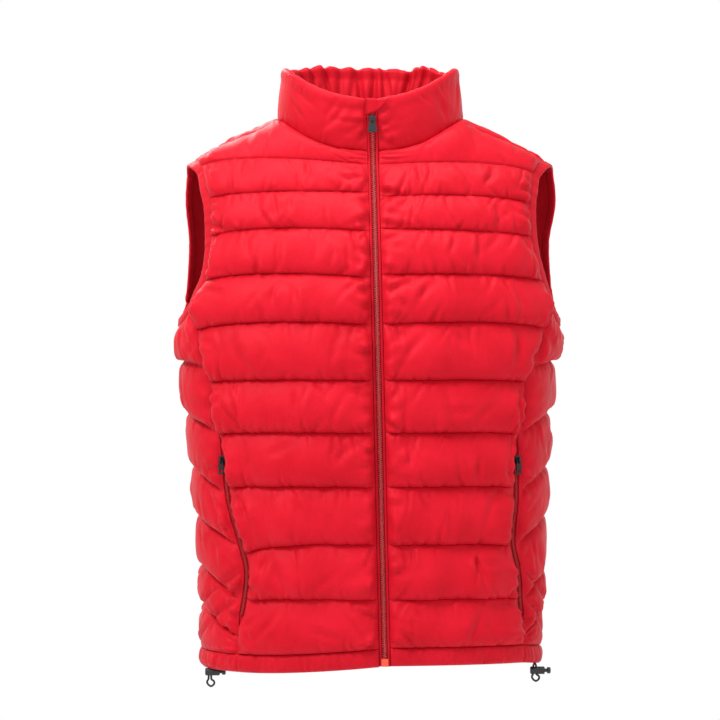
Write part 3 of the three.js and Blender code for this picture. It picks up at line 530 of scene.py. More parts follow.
def channel_relief(along, up, channel, t, full, seed, channels):
    uneven = 1 + 0.12 * waves(seed, 5, 150, 50)(along, channel * 83.0 + t * 30)
    profile = puff_profile(t)
    height = full * uneven * profile
    random = np.random.default_rng(seed + 3)
    folds = np.zeros_like(height)
    for k in range(channels):
        inside = channel == k
        if inside.any():
            rise = max(float(up[inside].max()), 10.0)
            span = float(along[inside].max())
            folds[inside] = channel_folds(along[inside], up[inside], span, rise, random)
    return height - FOLD_DEPTH * folds * np.minimum(1, full / 9) * np.minimum(1, 1.25 * profile)


def padded_panel(name, surface, shape, outward, count, per_channel, heights, seed,
                 yoke=False, notch=0.0):
    channels = len(heights)
    u, v = np.broadcast_arrays(columns_of(count)[:, None], rows_of(channels, per_channel)[None, :])
    base = surface(u, v)
    normal = normals_of(surface, u, v, outward)
    channel = np.clip(np.floor(v + 1e-9).astype(int), 0, channels - 1)
    t = v - channel
    steps = np.linalg.norm(np.diff(base, axis=0), axis=-1)
    along = np.concatenate([np.zeros((1, base.shape[1])), np.cumsum(steps, axis=0)])
    edge_distance = np.minimum(along, along[-1:] - along)
    rises = np.append([0], np.cumsum(np.linalg.norm(np.diff(base[count // 2], axis=0), axis=-1)))
    marks = rises[::per_channel]
    up = t * np.diff(marks)[channel]
    height = channel_relief(along, up, channel, t, np.array(heights, float)[channel], seed, channels)
    if yoke:
        part = np.clip((v - TOP) / 2, 0, 1)
        above = part * (marks[-1] - marks[TOP])
        under_collar = channel_relief(along, above, np.minimum(channel, TOP), part,
                                      6.0 * (0.5 + u), seed + 1, channels)
        share = np.clip((0.62 - u) / 0.2, 0, 1)
        height = np.where(v > TOP, mix(height, under_collar, share ** 2 * (3 - 2 * share)), height)
    side_waves = 1 + 0.25 * np.sin(base[..., 2] / 2.4 + 2 * np.sin(base[..., 2] / 9.0))
    height *= edge_profile(edge_distance * side_waves)
    if notch:
        inner_lines = np.clip(3 * v, 0, 1) * np.clip(3 * (channels - v), 0, 1)
        pull = np.exp(-(np.minimum(t, 1 - t) / 0.09) ** 2) * np.minimum(1, edge_distance / 25)
        height -= notch * pull * inner_lines
    height = shape(base, height, u) if shape else np.maximum(height, 0)
    outside = base + normal * height[..., None]
    outside[..., 2] -= 0.42 * np.maximum(height, 0) * np.exp(-t / 0.38) * np.clip((v + 0.4), 0, 1)
    inside = base + normal * (np.minimum(height, 0) - WALL)[..., None]
    piece = sweep("quilted_" + name, np.concatenate([outside, inside[:, ::-1]], axis=1))
    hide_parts(name)
    piece.data.materials.append(red_cloth)
    fullest = round(float(height.max()), 1)
    print(name, "mesh:", len(piece.data.polygons), "faces, fullest", fullest, "mm")
    return piece


# %% [markdown]
# The side panels are quilted in chevrons that cross near the hem. The second set of
# lines is pressed into the puffs as narrow grooves.

# %% Front, side and back panels
def crossing(base, height, u):
    groove = np.zeros_like(height)
    for start_z, end_z in ((-566, -628), (-600, -668)):
        line = mix(start_z, end_z, 1 - np.abs(2 * u - 1))
        groove = np.maximum(groove, np.exp(-((base[..., 2] - line) / 4.5) ** 2))
    return np.maximum(height, 0) * (1 - 0.8 * groove) + np.minimum(height, 0)


def surface_for(kind, side):
    surfaces = {"front": front_surface, "side": side_surface}
    return lambda u, v: surfaces[kind](side, u, v)


for index, side in enumerate(SIDES):
    sign = SIGN[side]
    padded_panel(f"front_{side}", surface_for("front", side), None, sign, 130, 18,
                 PUFF["front"], 11 + index, yoke=True)
    padded_panel(f"side_{side}", surface_for("side", side), crossing, sign, 80, 18,
                 PUFF["side"], 31 + index, notch=5.0)
padded_panel("back", back_surface, None, -1, 220, 17, PUFF["back"], 51)

# %% [markdown]
# The collar stands up from the neck seam as one fat roll. Its lower edge follows the
# neck edges of the panels, so no gap opens there. The inside layer is longer than it
# needs to be, which makes the gathers that show at the back of the neck.

# %% Collar
COLLAR = {"top_half_width": 111, "front": 84, "back": 76, "front_z": 14, "side_z": 59, "back_z": 70}
COLLAR_HEIGHT = 62.0
COLLAR_WAVE = {"x": (-400, -115, -93, -66, -38, -14, 20, 37, 50, 58, 71, 82, 95, 112, 400),
               "rise": (0, 0, 2, 4.5, 0, -1, -1.5, -2, -4, 0, 4, 4, -1, -3, 0)}


def collar_line(count):
    half = np.linspace(0, 0.5, 80)
    behind = np.linspace(BACK_NECK[0], BACK_NECK[1], 160)[1:-1]
    line = np.concatenate([front_surface("right", half, TOP + 2.0), back_surface(behind, TOP + 1.0),
                           front_surface("left", half[::-1], TOP + 2.0)])
    travelled = np.append(0, np.cumsum(np.linalg.norm(np.diff(line, axis=0), axis=1)))
    even = np.linspace(0, travelled[-1], count)
    return np.stack([np.interp(even, travelled, line[:, i]) for i in range(3)], axis=1), even


def collar_top(bottom):
    x, y = bottom[:, 0], bottom[:, 1]
    reach = np.clip(np.abs(x) / NECK["half_width"], 0, 1)
    forward = y < NECK["centre_y"]
    lean = np.where(forward, zip_x(COLLAR["front_z"]) - zip_x(NECK_HEIGHT["front"]), 0)
    top_x = x * mix(1, COLLAR["top_half_width"] / NECK["half_width"], reach) + lean * (1 - reach)
    grow = np.where(forward, COLLAR["front"], COLLAR["back"]) / NECK["deep"]
    front_z = mix(COLLAR["front_z"], COLLAR["side_z"], reach ** 2.1)
    back_z = mix(COLLAR["back_z"], COLLAR["side_z"], reach ** 2)
    wave = np.interp(x, COLLAR_WAVE["x"], COLLAR_WAVE["rise"])
    z = np.where(forward, front_z, back_z + wave)
    return stack(top_x, NECK["centre_y"] + (y - NECK["centre_y"]) * grow, z)


COLLAR_GATHERS = ((-92, 4, 4.0, 0.2), (-79, 6.5, 3.4, 0.1), (-66, 3.5, 4.5, -0.1),
                  (-57, 7, 3.2, 0.15), (-40, 4, 5.0, 0.0), (-24, 3.5, 4.2, -0.15),
                  (-12.7, 6.5, 4.4, 0.1), (5, 4.5, 4.0, -0.1), (20, 6, 3.0, 0.1),
                  (27, 4.5, 2.8, 0.2), (38, 3.5, 4.0, -0.2), (48.5, 8.5, 4.6, -0.25),
                  (60, 5, 3.2, -0.3), (70, 7, 3.6, -0.35), (84, 5, 3.6, -0.4), (96, 4, 3.4, -0.3))


def make_collar():
    bottom, along = collar_line(330)
    top = collar_top(bottom)
    bottom[:, 2] += 0.6
    tangent = np.gradient(bottom, axis=0)
    normal = stack(tangent[:, 1], -tangent[:, 0], 0)
    normal /= np.linalg.norm(normal, axis=1, keepdims=True)
    middle = len(normal) // 2
    if normal[middle, 1] < 0:
        normal = -normal
    edge = edge_profile(np.minimum(along, along[-1] - along), 16)
    h = np.linspace(0, 1, 26)[None, :]
    a = along[:, None]
    bulge = np.sin(math.pi * h ** 0.8) ** 0.62
    reach = np.clip(np.abs(bottom[:, :1]) / NECK["half_width"], 0, 1)
    outside = (5.5 - 3.4 * reach ** 3) * bulge * (1 + 0.07 * waves(72, 5, 130, 50)(a, h * 40))
    random = np.random.default_rng(73)
    flat_along, flat_up = np.broadcast_arrays(a, COLLAR_HEIGHT * h)
    folds = channel_folds(flat_along, flat_up, float(along[-1]), COLLAR_HEIGHT, random)
    outside -= 1.5 * folds * np.minimum(1, bulge * 1.2)
    rim = np.clip((h - 0.82) / 0.18, 0, 1)
    outside = np.maximum(outside, 0) + 2.0 * rim
    inside = 3 + 7.0 * np.sin(math.pi * np.minimum(h, 0.84)) ** 0.6 + 1.5 * rim
    behind = (bottom[:, 1:2] > NECK["centre_y"]) * np.ones_like(h)
    for x, depth, width, lean in COLLAR_GATHERS:
        inside = inside - behind * fold(bottom[:, :1] + 0 * h, COLLAR_HEIGHT * h, (x, 34),
                                        math.pi / 2 + lean, 44, width, depth, both_ways=True)
    drift = 1.9 * waves(74, 4, 150, 60)(a, 0 * a)
    front_gathers = (0.5 + 0.5 * np.sin(2 * math.pi * a / 21 + drift)) ** 1.5
    inside = inside - 3.5 * (1 - behind) * front_gathers * np.sin(math.pi * np.minimum(h, 0.9))
    outside, inside = outside * edge[:, None], np.maximum(mix(2.2, inside, edge[:, None]), 1.5)

    def wall(part, offset):
        part = part[..., None]
        shell = bottom[:, None] * (1 - part) + top[:, None] * part
        return shell + normal[:, None] * offset[..., None]

    turn = np.linspace(0, math.pi, 9)[None, 1:-1]
    centre = (outside[:, -1:] - inside[:, -1:]) / 2
    half = (outside[:, -1:] + inside[:, -1:]) / 2
    crest = wall(np.ones((len(a), turn.shape[1])), centre + half * np.cos(turn))
    crest[..., 2] += 0.85 * half * np.sin(turn)
    ones = np.ones_like(outside)
    rings = np.concatenate([wall(h * ones, outside), crest, wall(h * ones, -inside)[:, ::-1]], axis=1)
    if rings.shape[1] % 2:
        rings = np.concatenate([rings, rings[:, -1:] * 0.5 + rings[:, :1] * 0.5], axis=1)
    piece = sweep("quilted_collar", rings)
    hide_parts("collar")
    piece.data.materials.append(red_cloth)
    return piece, along[-1]


collar, collar_length = make_collar()
print("collar: neck seam", round(float(collar_length)), "mm long")

# %% [markdown]
# The hem is a narrow tunnel of cloth for an elastic cord. The cord draws it in, so it
# is covered with small upright gathers. One function makes all five lengths of it.

# %% Hem tunnel
HEM_BAND = 22.0


def hem_band(name, surface, count, outward, lean, seed):
    u = np.linspace(0, 1, count)
    top = surface(u, np.zeros_like(u))
    normal = normals_of(surface, u, np.zeros_like(u), outward)
    normal[:, 2] = 0
    normal /= np.linalg.norm(normal, axis=1, keepdims=True)
    t = np.linspace(0, 1, 11)[None, :]
    z = top[:, 2:] - 0.1 - t * (HEM_BAND + 0.4)
    x = top[:, :1] + lean * (1 - u[:, None]) * (zip_x(z) - zip_x(top[:, 2:]))
    steps = np.linalg.norm(np.diff(top, axis=0), axis=1)
    along = np.append(0, np.cumsum(steps))[:, None]
    end = edge_profile(np.minimum(along, along[-1] - along) + 0.3, 3)
    swell = np.sin(math.pi * np.clip(t, 0, 1)) ** 0.5
    height = 4.2 * swell * (1 + 0.12 * waves(seed, 5, 80, 25)(along, 12 * t))
    random = np.random.default_rng(seed)
    place = 4.0
    while place < along[-1, 0]:
        top_side = random.random() < 0.65
        angle = (-1 if top_side else 1) * (math.pi / 2 + random.normal(0, 0.3))
        start = (place, HEM_BAND if top_side else 0)
        gather = fold(along, HEM_BAND * (1 - t), start, angle, random.uniform(7, 18),
                      random.uniform(1.3, 2.6), random.uniform(0.7, 2.0))
        height = height - gather * swell
        place += random.gamma(2.4, 2.6)
    height = end * np.maximum(height, 0.4 * swell)
    base = stack(x, top[:, 1:2], z)
    outside = base + normal[:, None] * height[..., None]
    inside = base - normal[:, None] * (WALL + 1.2 * swell * end)[..., None]
    rings = np.concatenate([outside, inside[:, ::-1]], axis=1)
    piece = sweep(name.replace("hem", "hem_tunnel"), rings)
    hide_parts(name)
    piece.data.materials.append(red_binding)
    return piece


for index, side in enumerate(SIDES):
    sign = SIGN[side]
    hem_band(f"hem_front_{side}", surface_for("front", side), 170, sign, 1, 81 + index)
    hem_band(f"hem_side_{side}", surface_for("side", side), 170, sign, 0, 85 + index)
hem_band("hem_back", back_surface, 320, -1, 0, 89)

# %% [markdown]
# Each armhole is finished with a narrow folded strip. It is carried round the edges
# of the three panels, with its width pointing into the hole.

# %% Armhole bindings
BINDING_WIDTH = 12.0
BINDING_WRINKLE = 0.3
binding_seams = {}


def armhole_loop(side):
    sign = SIGN[side]
    corner = ARMHOLE_CORNER
    down = np.linspace(TOP + 2, corner, 130)
    round_bottom = np.linspace(0.02, 0.98, 90)
    up = np.linspace(corner, TOP + 1, 110)[:-1]
    end = 0.0 if side == "right" else 1.0
    front, under = surface_for("front", side), surface_for("side", side)
    rim = len(SIDE_LINES) * np.ones_like(round_bottom)
    line = np.concatenate([front(1.0, down), under(round_bottom, rim), back_surface(end, up)])
    normal = np.concatenate([
        normals_of(front, np.full_like(down, 0.999), np.minimum(down, TOP + 1.98), sign),
        normals_of(under, round_bottom, rim - 0.02, sign),
        normals_of(back_surface, np.full_like(up, abs(end - 0.001)), np.minimum(up, TOP + 0.98), -1),
    ])
    return line, normal


def smooth_ring(values, width):
    kernel = np.hanning(2 * width + 3)[1:-1]
    kernel /= kernel.sum()
    wrapped = np.concatenate([values[-width:], values, values[:width]])
    columns = range(values.shape[1])
    return np.stack([np.convolve(wrapped[:, i], kernel, "valid") for i in columns], axis=1)


def binding(side):
    line, normal = armhole_loop(side)
    closed = np.concatenate([line, line[:1]])
    travelled = np.append(0, np.cumsum(np.linalg.norm(np.diff(closed, axis=0), axis=1)))
    even = np.linspace(0, travelled[-1], 300, endpoint=False)
    normal = np.concatenate([normal, normal[:1]])
    line = np.stack([np.interp(even, travelled, closed[:, i]) for i in range(3)], axis=1)
    normal = np.stack([np.interp(even, travelled, normal[:, i]) for i in range(3)], axis=1)
    line, normal = smooth_ring(line, 2), smooth_ring(normal, 9)
    normal /= np.linalg.norm(normal, axis=1, keepdims=True)
    tangent = np.roll(line, -1, axis=0) - np.roll(line, 1, axis=0)
    inward = np.cross(tangent, normal)
    inward /= np.linalg.norm(inward, axis=1, keepdims=True)
    if ((np.array((SIGN[side] * 232, -8, -150)) - line) * inward).sum() < 0:
        inward = -inward
    inward = smooth_ring(inward, 6)
    wrinkle = waves(95 if side == "right" else 96, 7, 24, 7)(even, 0 * even)
    angles = np.linspace(0, 2 * math.pi, 17)[:-1]
    flat_cosine = np.sign(np.cos(angles)) * np.abs(np.cos(angles)) ** 0.6
    flat_sine = np.sign(np.sin(angles)) * np.abs(np.sin(angles)) ** 0.7
    a = -0.2 + (BINDING_WIDTH + 0.2) * (0.5 - 0.5 * flat_cosine)
    rings = []
    for k in range(len(even)):
        b = -0.9 + (1.9 + BINDING_WRINKLE * wrinkle[k]) * flat_sine
        rings.append(line[k] + np.outer(a, inward[k]) + np.outer(b, normal[k]))
    edge = line + 2.6 * inward
    lifted = (BINDING_WRINKLE * wrinkle + 1.15)[:, None] * normal
    binding_seams[side] = (edge + lifted, normal)
    piece = sweep(f"binding_{side}", rings, closed=True)
    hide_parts(f"armhole_binding_{side}")
    piece.data.materials.append(red_binding)
    return travelled[-1]


for side in SIDES:
    print("armhole", side, "round", round(float(binding(side))), "mm")

# %% [markdown]
# Thread shows as a row of short dashes in every crease. One stitch is a small block
# that narrows to its ends. A row of them is laid along a line on the cloth by its
# length, as a machine would space them, and each panel's rows become one mesh.

# %% Stitching
STITCH = {"pitch": 3.4, "length": 2.5, "thick": 0.55}
thread, thread_tree, thread_shader = principled("red_thread", (0.40, 0.004, 0.012), 0.6)
tint(thread_tree, thread_shader, noise(thread_tree, 900.0),
     (0.33, 0.003, 0.009), (0.46, 0.005, 0.014))


def stitch_row(line, outward, ride_height):
    travelled = np.append(0, np.cumsum(np.linalg.norm(np.diff(line, axis=0), axis=1)))
    middles = np.arange(STITCH["pitch"], travelled[-1] - STITCH["pitch"] / 2, STITCH["pitch"])

    def at(values, distance):
        return np.stack([np.interp(distance, travelled, values[:, i]) for i in range(3)], axis=1)

    ahead = at(line, middles + STITCH["length"] / 2) - at(line, middles - STITCH["length"] / 2)
    ahead /= np.linalg.norm(ahead, axis=1, keepdims=True)
    up = at(outward, middles)
    up /= np.linalg.norm(up, axis=1, keepdims=True)
    aside = np.cross(up, ahead)
    centre = at(line, middles) + up * ride_height
    corners = []
    for end, width, rise in ((-1, 0.35, -0.3), (0, 1, 0), (1, 0.35, -0.3)):
        for a, b in ((-1, -1), (1, -1), (1, 1), (-1, 1)):
            corners.append(centre + ahead * end * STITCH["length"] / 2
                           + (aside * a * width + up * (b * width + rise)) * STITCH["thick"] / 2)
    return np.stack(corners, axis=1)


def stitching(name, rows):
    blocks = np.concatenate(rows)
    one = [(3, 2, 1, 0), (8, 9, 10, 11)]
    for ring in (0, 4):
        for j in range(4):
            k = (j + 1) % 4
            one.append((ring + j, ring + k, ring + 4 + k, ring + 4 + j))
    faces = [tuple(12 * i + corner for corner in face) for i in range(len(blocks)) for face in one]
    piece = new_object(name, blocks.reshape(-1, 3) * MM, faces)
    piece.data.materials.append(thread)
    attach(piece, VEST)
    return len(blocks)


def quilting_rows(surface, outward, lines, deep=0.0):
    u = np.linspace(0.02, 0.98, 160)
    rows = []
    for line in range(1, lines):
        v = np.full_like(u, line)
        rows.append(stitch_row(surface(u, v), normals_of(surface, u, v, outward), 0.35 - deep))
    return rows


for side in SIDES:
    sign = SIGN[side]
    front_rows = quilting_rows(surface_for("front", side), sign, TOP + 1)
    side_rows = quilting_rows(surface_for("side", side), sign, len(SIDE_LINES), 4.6)
    sewn = stitching(f"stitches_front_{side}", front_rows)
    sewn += stitching(f"stitches_side_{side}", side_rows)
    sewn += stitching(f"stitches_armhole_{side}", [stitch_row(*binding_seams[side], 0.0)])
    print(side, "stitches:", sewn)
print("back stitches:", stitching("stitches_back", quilting_rows(back_surface, -1, TOP + 1)))

# %% [markdown]
# The front zip is a row of teeth on two woven tapes. The tapes show as narrow ribs on
# each side of it. One function sweeps any such strip along the zip line.

# %% Front zip
def collar_point(z):
    neck = neck_point("front", zip_x(np.asarray(-48.0)))
    top = collar_top(neck[None])[0]
    return mix(neck[1], top[1], (z - neck[2]) / (top[2] - neck[2])), neck[2]


def zip_y(z):
    z = np.asarray(z, float)
    low = body_point("front", zip_x(-65.0), np.asarray(-65.0))
    on_collar, neck_z = collar_point(z)
    neck_y = collar_point(neck_z)[0]
    on_body = body_point("front", zip_x(z), np.minimum(z, -65.0))[..., 1]
    between = mix(low[1], neck_y, (z + 65) / (neck_z + 65))
    return np.where(z < -65, on_body, np.where(z < neck_z, between, on_collar))


HEM_BOTTOM_Z = -680.5
ZIP_TOP_Z = 12.0


def zip_strip(name, across, depth, low, high, count, finish, replaces=None, crown=0.0):
    z = np.linspace(low, high, count)
    fractions = np.linspace(0, 1, 7)
    rings = []
    for height in z:
        x = zip_x(height) + mix(across[0], across[1], fractions)
        front = zip_y(height) + depth[0] - crown * np.sin(math.pi * fractions)
        back = np.full_like(fractions, zip_y(height) + depth[1])
        ring = np.concatenate([stack(x, front, height), stack(x, back, height)[::-1]])
        rings.append(ring)
    piece = sweep(name, rings)
    piece.data.materials.append(finish)
    if replaces:
        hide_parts(replaces)
    return piece


for side in SIDES:
    across = (-6.7, -3.3) if side == "right" else (3.3, 6.7)
    tape = zip_strip(f"zip_rib_{side}", across, (0.2, 1.4), HEM_BOTTOM_Z, ZIP_TOP_Z, 150,
                     red_tape, f"zip_tape_{side}", crown=0.7)
print("zip tapes:", round(ZIP_TOP_Z - HEM_BOTTOM_Z), "mm long")

# %% [markdown]
# A moulded zip has separate teeth that take turns along both tapes. Each is a small
# block, narrower towards the viewer, and all of them are joined in one mesh.

# %% Zip teeth
def block(centre, size, lean=0.0):
    x, y, z = np.array(size) / 2
    corners = []
    for sx, sy, sz in ((-1, -1, -1), (1, -1, -1), (1, 1, -1), (-1, 1, -1),
                       (-1, -1, 1), (1, -1, 1), (1, 1, 1), (-1, 1, 1)):
        narrow = 0.72 if sy < 0 else 1.0
        corners.append((centre[0] + sx * x * narrow, centre[1] + sy * y,
                        centre[2] + sz * z * narrow + sx * lean))
    return corners


BLOCK_FACES = ((0, 1, 5, 4), (1, 2, 6, 5), (2, 3, 7, 6), (3, 0, 4, 7), (4, 5, 6, 7), (3, 2, 1, 0))


def joined_blocks(name, blocks, finish, replaces=None):
    points = []
    faces = []
    for corners in blocks:
        start = len(points)
        points.extend(np.array(corners) * MM)
        faces.extend(tuple(start + i for i in face) for face in BLOCK_FACES)
    piece = new_object(name, points, faces)
    for face in piece.data.polygons:
        face.use_smooth = False
    bevel = piece.modifiers.new("rounded", "BEVEL")
    bevel.width = 0.22 * MM
    bevel.segments = 1
    piece.data.materials.append(finish)
    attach(piece, VEST)
    if replaces:
        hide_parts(replaces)
    return piece


TOOTH_PITCH = 2.3
red_teeth, teeth_tree, teeth_shader = principled("red_zip_teeth", (0.34, 0.009, 0.010), 0.42)
tint(teeth_tree, teeth_shader, noise(teeth_tree, 300.0), (0.29, 0.006, 0.008), (0.38, 0.011, 0.011))
blocks = []
z = HEM_BOTTOM_Z + 10.5
row = 0
while z < ZIP_TOP_Z - 1:
    shift = 0.9 if row % 2 else -0.9
    blocks.append(block((float(zip_x(z)) + shift, float(zip_y(z)) - 0.35, z), (4.6, 1.9, 1.75)))
    z += TOOTH_PITCH / 2 * 1.15
    row += 1
teeth = joined_blocks("zip_teeth", blocks, red_teeth, "zip_chain")
print("zip teeth:", len(blocks))

# %% [markdown]
# The woven tapes meet behind the teeth and are sewn under both front edges. One thin
# strip stands for that hidden part, so that no light comes through beside the teeth.

# %% Zip backing
backing = zip_strip("zip_backing", (-7.6, 7.6), (1.6, 2.3), HEM_BOTTOM_Z, ZIP_TOP_Z, 100, red_tape)
print("zip backing:", len(backing.data.vertices), "points")

# %% [markdown]
# The sliders, pull tabs, cord locks and the retainer keep their solid shapes. They
# only need better finishes: dark plated metal with fine scratches, and a slightly
# glossy moulded plastic with a soft grain.

# %% Hardware finishes
def hard_finish(name, colour, roughness, metallic, grain):
    material, tree, shader = principled(name, colour, roughness, metallic)
    tint(tree, shader, noise(tree, 240.0), tuple(c * 0.75 for c in colour), colour)
    bump(tree, shader, noise(tree, 1400.0), grain, 0.0002)
    return material


dark_metal = hard_finish("dark_zip_metal", (0.014, 0.014, 0.016), 0.4, 0.4, 0.15)
black_plastic = hard_finish("black_plastic", (0.008, 0.008, 0.009), 0.48, 0.0, 0.3)
red_plastic = hard_finish("red_plastic", (0.85, 0.07, 0.03), 0.4, 0.0, 0.1)
black_cord = hard_finish("black_cord", (0.014, 0.014, 0.016), 0.8, 0.0, 0.6)


def finish_node(node, material):
    mesh = bpy.data.objects[node].data
    mesh.materials.clear()
    mesh.materials.append(material)


for node, material in (("zip_slider", dark_metal), ("zip_pull", dark_metal),
                       ("zip_retainer", red_plastic)):
    finish_node(node, material)
for side in SIDES:
    for kind, material in (("pocket_slider", dark_metal), ("pocket_pull", dark_metal),
                           ("lock_barrel", black_plastic), ("lock_plunger", black_plastic)):
        finish_node(f"{kind}_{side}", material)
print("hardware finishes: 4")

# %% [markdown]
# A small flap of cloth covers the top of the zip, so that the slider can't scratch
# the chin. It lies over the collar edge and ends in a slanted corner.

# %% Zip garage
GARAGE = {"x": (-6.4, -2, 4, 9.5, 14, 18, 21.5),
          "top": (17, 17, 16.6, 16, 15.6, 15.2, 14.8), "low": (-5, -3, -1, 2, 6, 10, 13.4)}


def make_garage():
    x = np.linspace(GARAGE["x"][0], GARAGE["x"][-1], 40)
    top = np.interp(x, GARAGE["x"], GARAGE["top"])
    low = np.interp(x, GARAGE["x"], GARAGE["low"])
    t = np.linspace(0, 1, 14)[None, :]
    z = mix(low[:, None], top[:, None], t)
    x = x[:, None] + 0 * t
    rise = 6.5 * edge_profile(np.maximum(np.abs(x - zip_x(0)) - ZIP_HALF_WIDTH, 0)) + 2.4
    y = zip_y(z) - rise + np.abs(x - zip_x(0)) * 0.06
    column = np.arange(40)[:, None]
    rim = np.minimum(np.minimum(t, 1 - t) * 6, np.minimum(column, 39 - column) / 4)
    roll = np.sin(math.pi / 2 * np.clip(rim, 0, 1)) ** 0.6
    outside = stack(x, y - 0.7 - 1.3 * roll, z)
    inside = stack(x, y + 0 * z, z)
    piece = sweep("garage_flap", np.concatenate([outside, inside[:, ::-1]], axis=1))
    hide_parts("zip_garage")
    piece.data.materials.append(red_binding)
    return piece


garage = make_garage()
print("garage:", [round(v * 1000, 1) for v in garage.dimensions])

# %% [markdown]
# Each pocket zip lies behind the edges of its opening, between the front and the side
# panel. Dark gaps on both sides of the teeth come from the depth of the opening.

# %% Pocket zips
def pocket_frame(side, z):
    sign = SIGN[side]
    x = sign * read(FRONT_EDGE, side, z)
    base = body_point("front", x, z)
    along = body_point("front", x + 1, z) - body_point("front", x - 1, z)
    along[..., 2] = 0
    along /= np.linalg.norm(along, axis=-1, keepdims=True)
    outward = stack(along[..., 1], -along[..., 0], 0)
    return base, along, outward


def pocket_zip(side):
    z = np.linspace(POCKET["top"] - 2, POCKET["bottom"] - 2, 90)
    base, along, outward = pocket_frame(side, z)
    rings = []
    for k in range(len(z)):
        ring = [(a, -2.3 + 0.4 * math.cos(a / 6.5 * math.pi)) for a in np.linspace(-6.5, 6.5, 9)]
        ring += [(a, -3.6) for a in np.linspace(6.5, -6.5, 9)]
        rings.append([base[k] + a * along[k] + b * outward[k] for a, b in ring])
    tape = sweep(f"pocket_tape_{side}", rings)
    tape.data.materials.append(red_tape)
    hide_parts(f"pocket_zip_{side}")
    blocks = []
    for row, height in enumerate(np.arange(POCKET["lower"] - 4, POCKET["upper"] - 14, 1.3)):
        base, along, outward = pocket_frame(side, float(height))
        centre = base - 0.6 * outward + (0.8 if row % 2 else -0.8) * along
        corners = np.array(block((0, 0, 0), (4.4, 1.9, 1.1)))
        turned = corners[:, :1] * along + corners[:, 1:2] * -outward + corners[:, 2:] * (0, 0, 1)
        blocks.append(centre + turned)
    joined_blocks(f"pocket_teeth_{side}", blocks, red_teeth)
    return len(blocks)


for side in SIDES:
    print("pocket teeth", side, pocket_zip(side))

# %% [markdown]
# The hem cord is a thin black elastic. Both its ends go back into the hem tunnel, and
# its loop hangs through the cord lock. A closed tube swept along that line keeps it
# one piece, and small ribs show its braid.

# %% Hem cords
CORD_RADIUS = 1.3
CORD_SPREAD = 1.6
LOCK = {"radius": 4.8, "slot": -3.2, "drop": 7.2}
LOCK_ACROSS = {"left": 0.2, "right": 0.27}


def smooth_line(points, count):
    points = np.asarray(points, float)
    padded = np.concatenate([[2 * points[0] - points[1]], points, [2 * points[-1] - points[-2]]])
    out = []
    for i in range(1, len(padded) - 2):
        p0, p1, p2, p3 = padded[i - 1:i + 3]
        k0 = np.linalg.norm(p1 - p0) ** 0.5
        k1 = np.linalg.norm(p2 - p1) ** 0.5
        k2 = np.linalg.norm(p3 - p2) ** 0.5
        m1 = (p1 - p0) / k0 - (p2 - p0) / (k0 + k1) + (p2 - p1) / k1
        m2 = (p2 - p1) / k1 - (p3 - p1) / (k1 + k2) + (p3 - p2) / k2
        m1, m2 = m1 * k1, m2 * k1
        for t in np.arange(count) / count:
            out.append((2 * t**3 - 3 * t**2 + 1) * p1 + (t**3 - 2 * t**2 + t) * m1
                       + (-2 * t**3 + 3 * t**2) * p2 + (t**3 - t**2) * m2)
    return np.array(out + [points[-1]])


def cord_route(side):
    across = LOCK_ACROSS[side]
    hem = side_surface(side, across, 0.0)
    along = side_surface(side, across + 0.02, 0.0) - side_surface(side, across - 0.02, 0.0)
    along[2] = 0
    along /= np.linalg.norm(along) * (1 if along[0] > 0 else -1)
    outward = np.array((along[1], -along[0], 0))
    start = hem - 1.2 * outward
    start[2] = hem[2] - 0.5 - HEM_BAND
    x, y, z = start[0], start[1], start[2] - LOCK["drop"]
    low = z - LOCK["radius"]

    def strand(sign):
        first = start + along * sign * CORD_SPREAD - (0, 0, 0.5)
        return [first, (x + sign * CORD_SPREAD, y, z + LOCK["radius"] - 1),
                (x + sign * CORD_SPREAD, y, low + 0.5), (x + sign * (CORD_SPREAD + 0.4), y, low - 2),
                (x + sign * 4.3 + 0.9, y - 0.6, low - 4.7),
                (x + sign * 4.0 + 1.3, y - 1.1, low - 7.6)]

    return strand(-1) + [(x + 1.5, y - 1.5, low - 10.5)] + strand(1)[::-1]


def hem_cord(side):
    path = smooth_line(cord_route(side), 12)
    tangent = np.gradient(path, axis=0)
    tangent /= np.linalg.norm(tangent, axis=1, keepdims=True)
    across = np.cross(tangent, (0, 1, 0))
    across /= np.linalg.norm(across, axis=1, keepdims=True)
    beside = np.cross(tangent, across)
    angles = np.linspace(0, 2 * math.pi, 15)[:-1]
    rings = []
    for k in range(len(path)):
        radius = CORD_RADIUS * (1 - 0.05 * (0.5 + 0.5 * np.sin(3 * angles + k * 1.1)))
        rings.append(path[k] + np.outer(radius * np.cos(angles), across[k])
                     + np.outer(radius * np.sin(angles), beside[k]))
    piece = sweep(f"elastic_{side}", rings)
    piece.data.materials.append(black_cord)
    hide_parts(f"hem_cord_{side}")
    length = float(np.linalg.norm(np.diff(path, axis=0), axis=1).sum()) * MM
    return length


for side in SIDES:
    print("hem cord", side, round(hem_cord(side) * 1000, 1), "mm")

# %% [markdown]
# The picture is a cut-out on white in soft studio light. Large area lamps stand to
# the front left and right and above, the world is plain white, and a pale floor lies
# well below the hem.

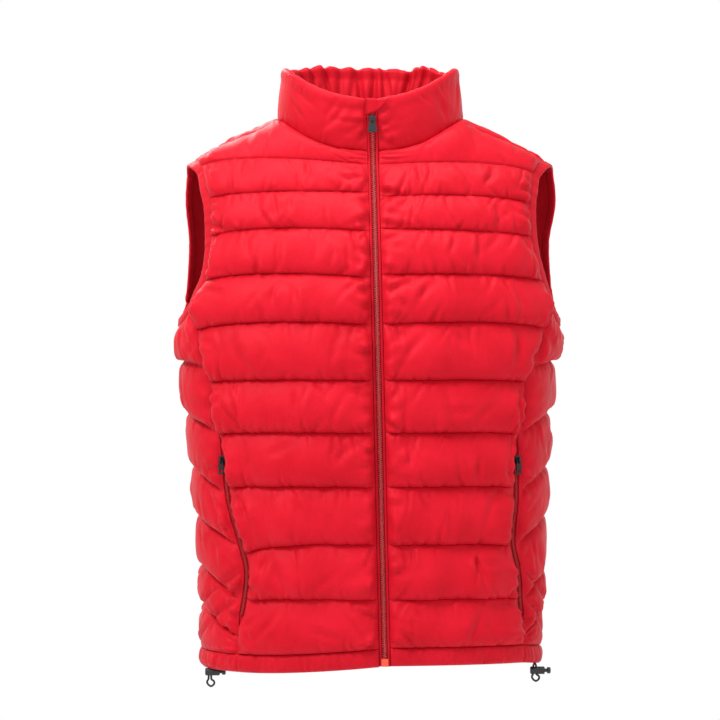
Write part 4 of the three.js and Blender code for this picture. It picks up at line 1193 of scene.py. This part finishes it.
# %% Floor and light
def area_lamp(name, place, target, size, power):
    data = bpy.data.lights.new(name, "AREA")
    data.shape = "RECTANGLE"
    data.size, data.size_y = size
    data.energy = power
    lamp = bpy.data.objects.new(name, data)
    lamp.location = place
    direction = np.array(target) - np.array(place)
    yaw = math.atan2(-direction[0], direction[1])
    pitch = math.atan2(direction[2], math.hypot(direction[0], direction[1]))
    lamp.rotation_euler = (math.pi / 2 + pitch, 0, yaw)
    bpy.context.scene.collection.objects.link(lamp)
    return lamp


FLOOR_Z = -1.25
AIM = (0, 0, -0.3)
area_lamp("key_lamp", (-1.5, -1.5, 1.6), AIM, (0.9, 0.9), 62)
area_lamp("fill_lamp", (0.4, -2.8, 0.3), AIM, (1.6, 1.6), 14)
area_lamp("top_lamp", (0, -0.5, 1.9), AIM, (1.4, 1.0), 40)
area_lamp("right_lamp", (2.4, -1.0, 0.6), AIM, (1.4, 1.4), 10)
area_lamp("back_lamp", (-1.3, 1.9, 1.5), AIM, (1.2, 1.2), 46)
world = bpy.data.worlds.new("white_room")
world.use_nodes = True
background = world.node_tree.nodes["Background"]
direction = world.node_tree.nodes.new("ShaderNodeTexCoord")
split = world.node_tree.nodes.new("ShaderNodeSeparateXYZ")
height_share = world.node_tree.nodes.new("ShaderNodeMapRange")
height_share.inputs["From Min"].default_value = -1.0
sky = world.node_tree.nodes.new("ShaderNodeValToRGB")
sky.color_ramp.elements[0].color = (1, 1, 1, 1)
for place, grey in ((0.62, 1.0), (0.75, 0.45)):
    stop = sky.color_ramp.elements.new(place)
    stop.color = (grey, grey, grey, 1)
sky.color_ramp.elements[-1].color = (0.45, 0.45, 0.45, 1)
world.node_tree.links.new(direction.outputs["Generated"], split.inputs["Vector"])
world.node_tree.links.new(split.outputs["Z"], height_share.inputs["Value"])
world.node_tree.links.new(height_share.outputs["Result"], sky.inputs["Fac"])
world.node_tree.links.new(sky.outputs["Color"], background.inputs["Color"])
bpy.context.scene.world = world

floor = new_object("floor", [(-3, -3, FLOOR_Z), (3, -3, FLOOR_Z), (3, 3, FLOOR_Z), (-3, 3, FLOOR_Z)],
                   [(0, 1, 2, 3)])
floor_finish, floor_tree, floor_shader = principled("pale_floor", (0.78, 0.78, 0.78), 0.8)
floor.data.materials.append(floor_finish)
bpy.context.scene.view_settings.view_transform = "Standard"
print("floor at", FLOOR_Z, "m")
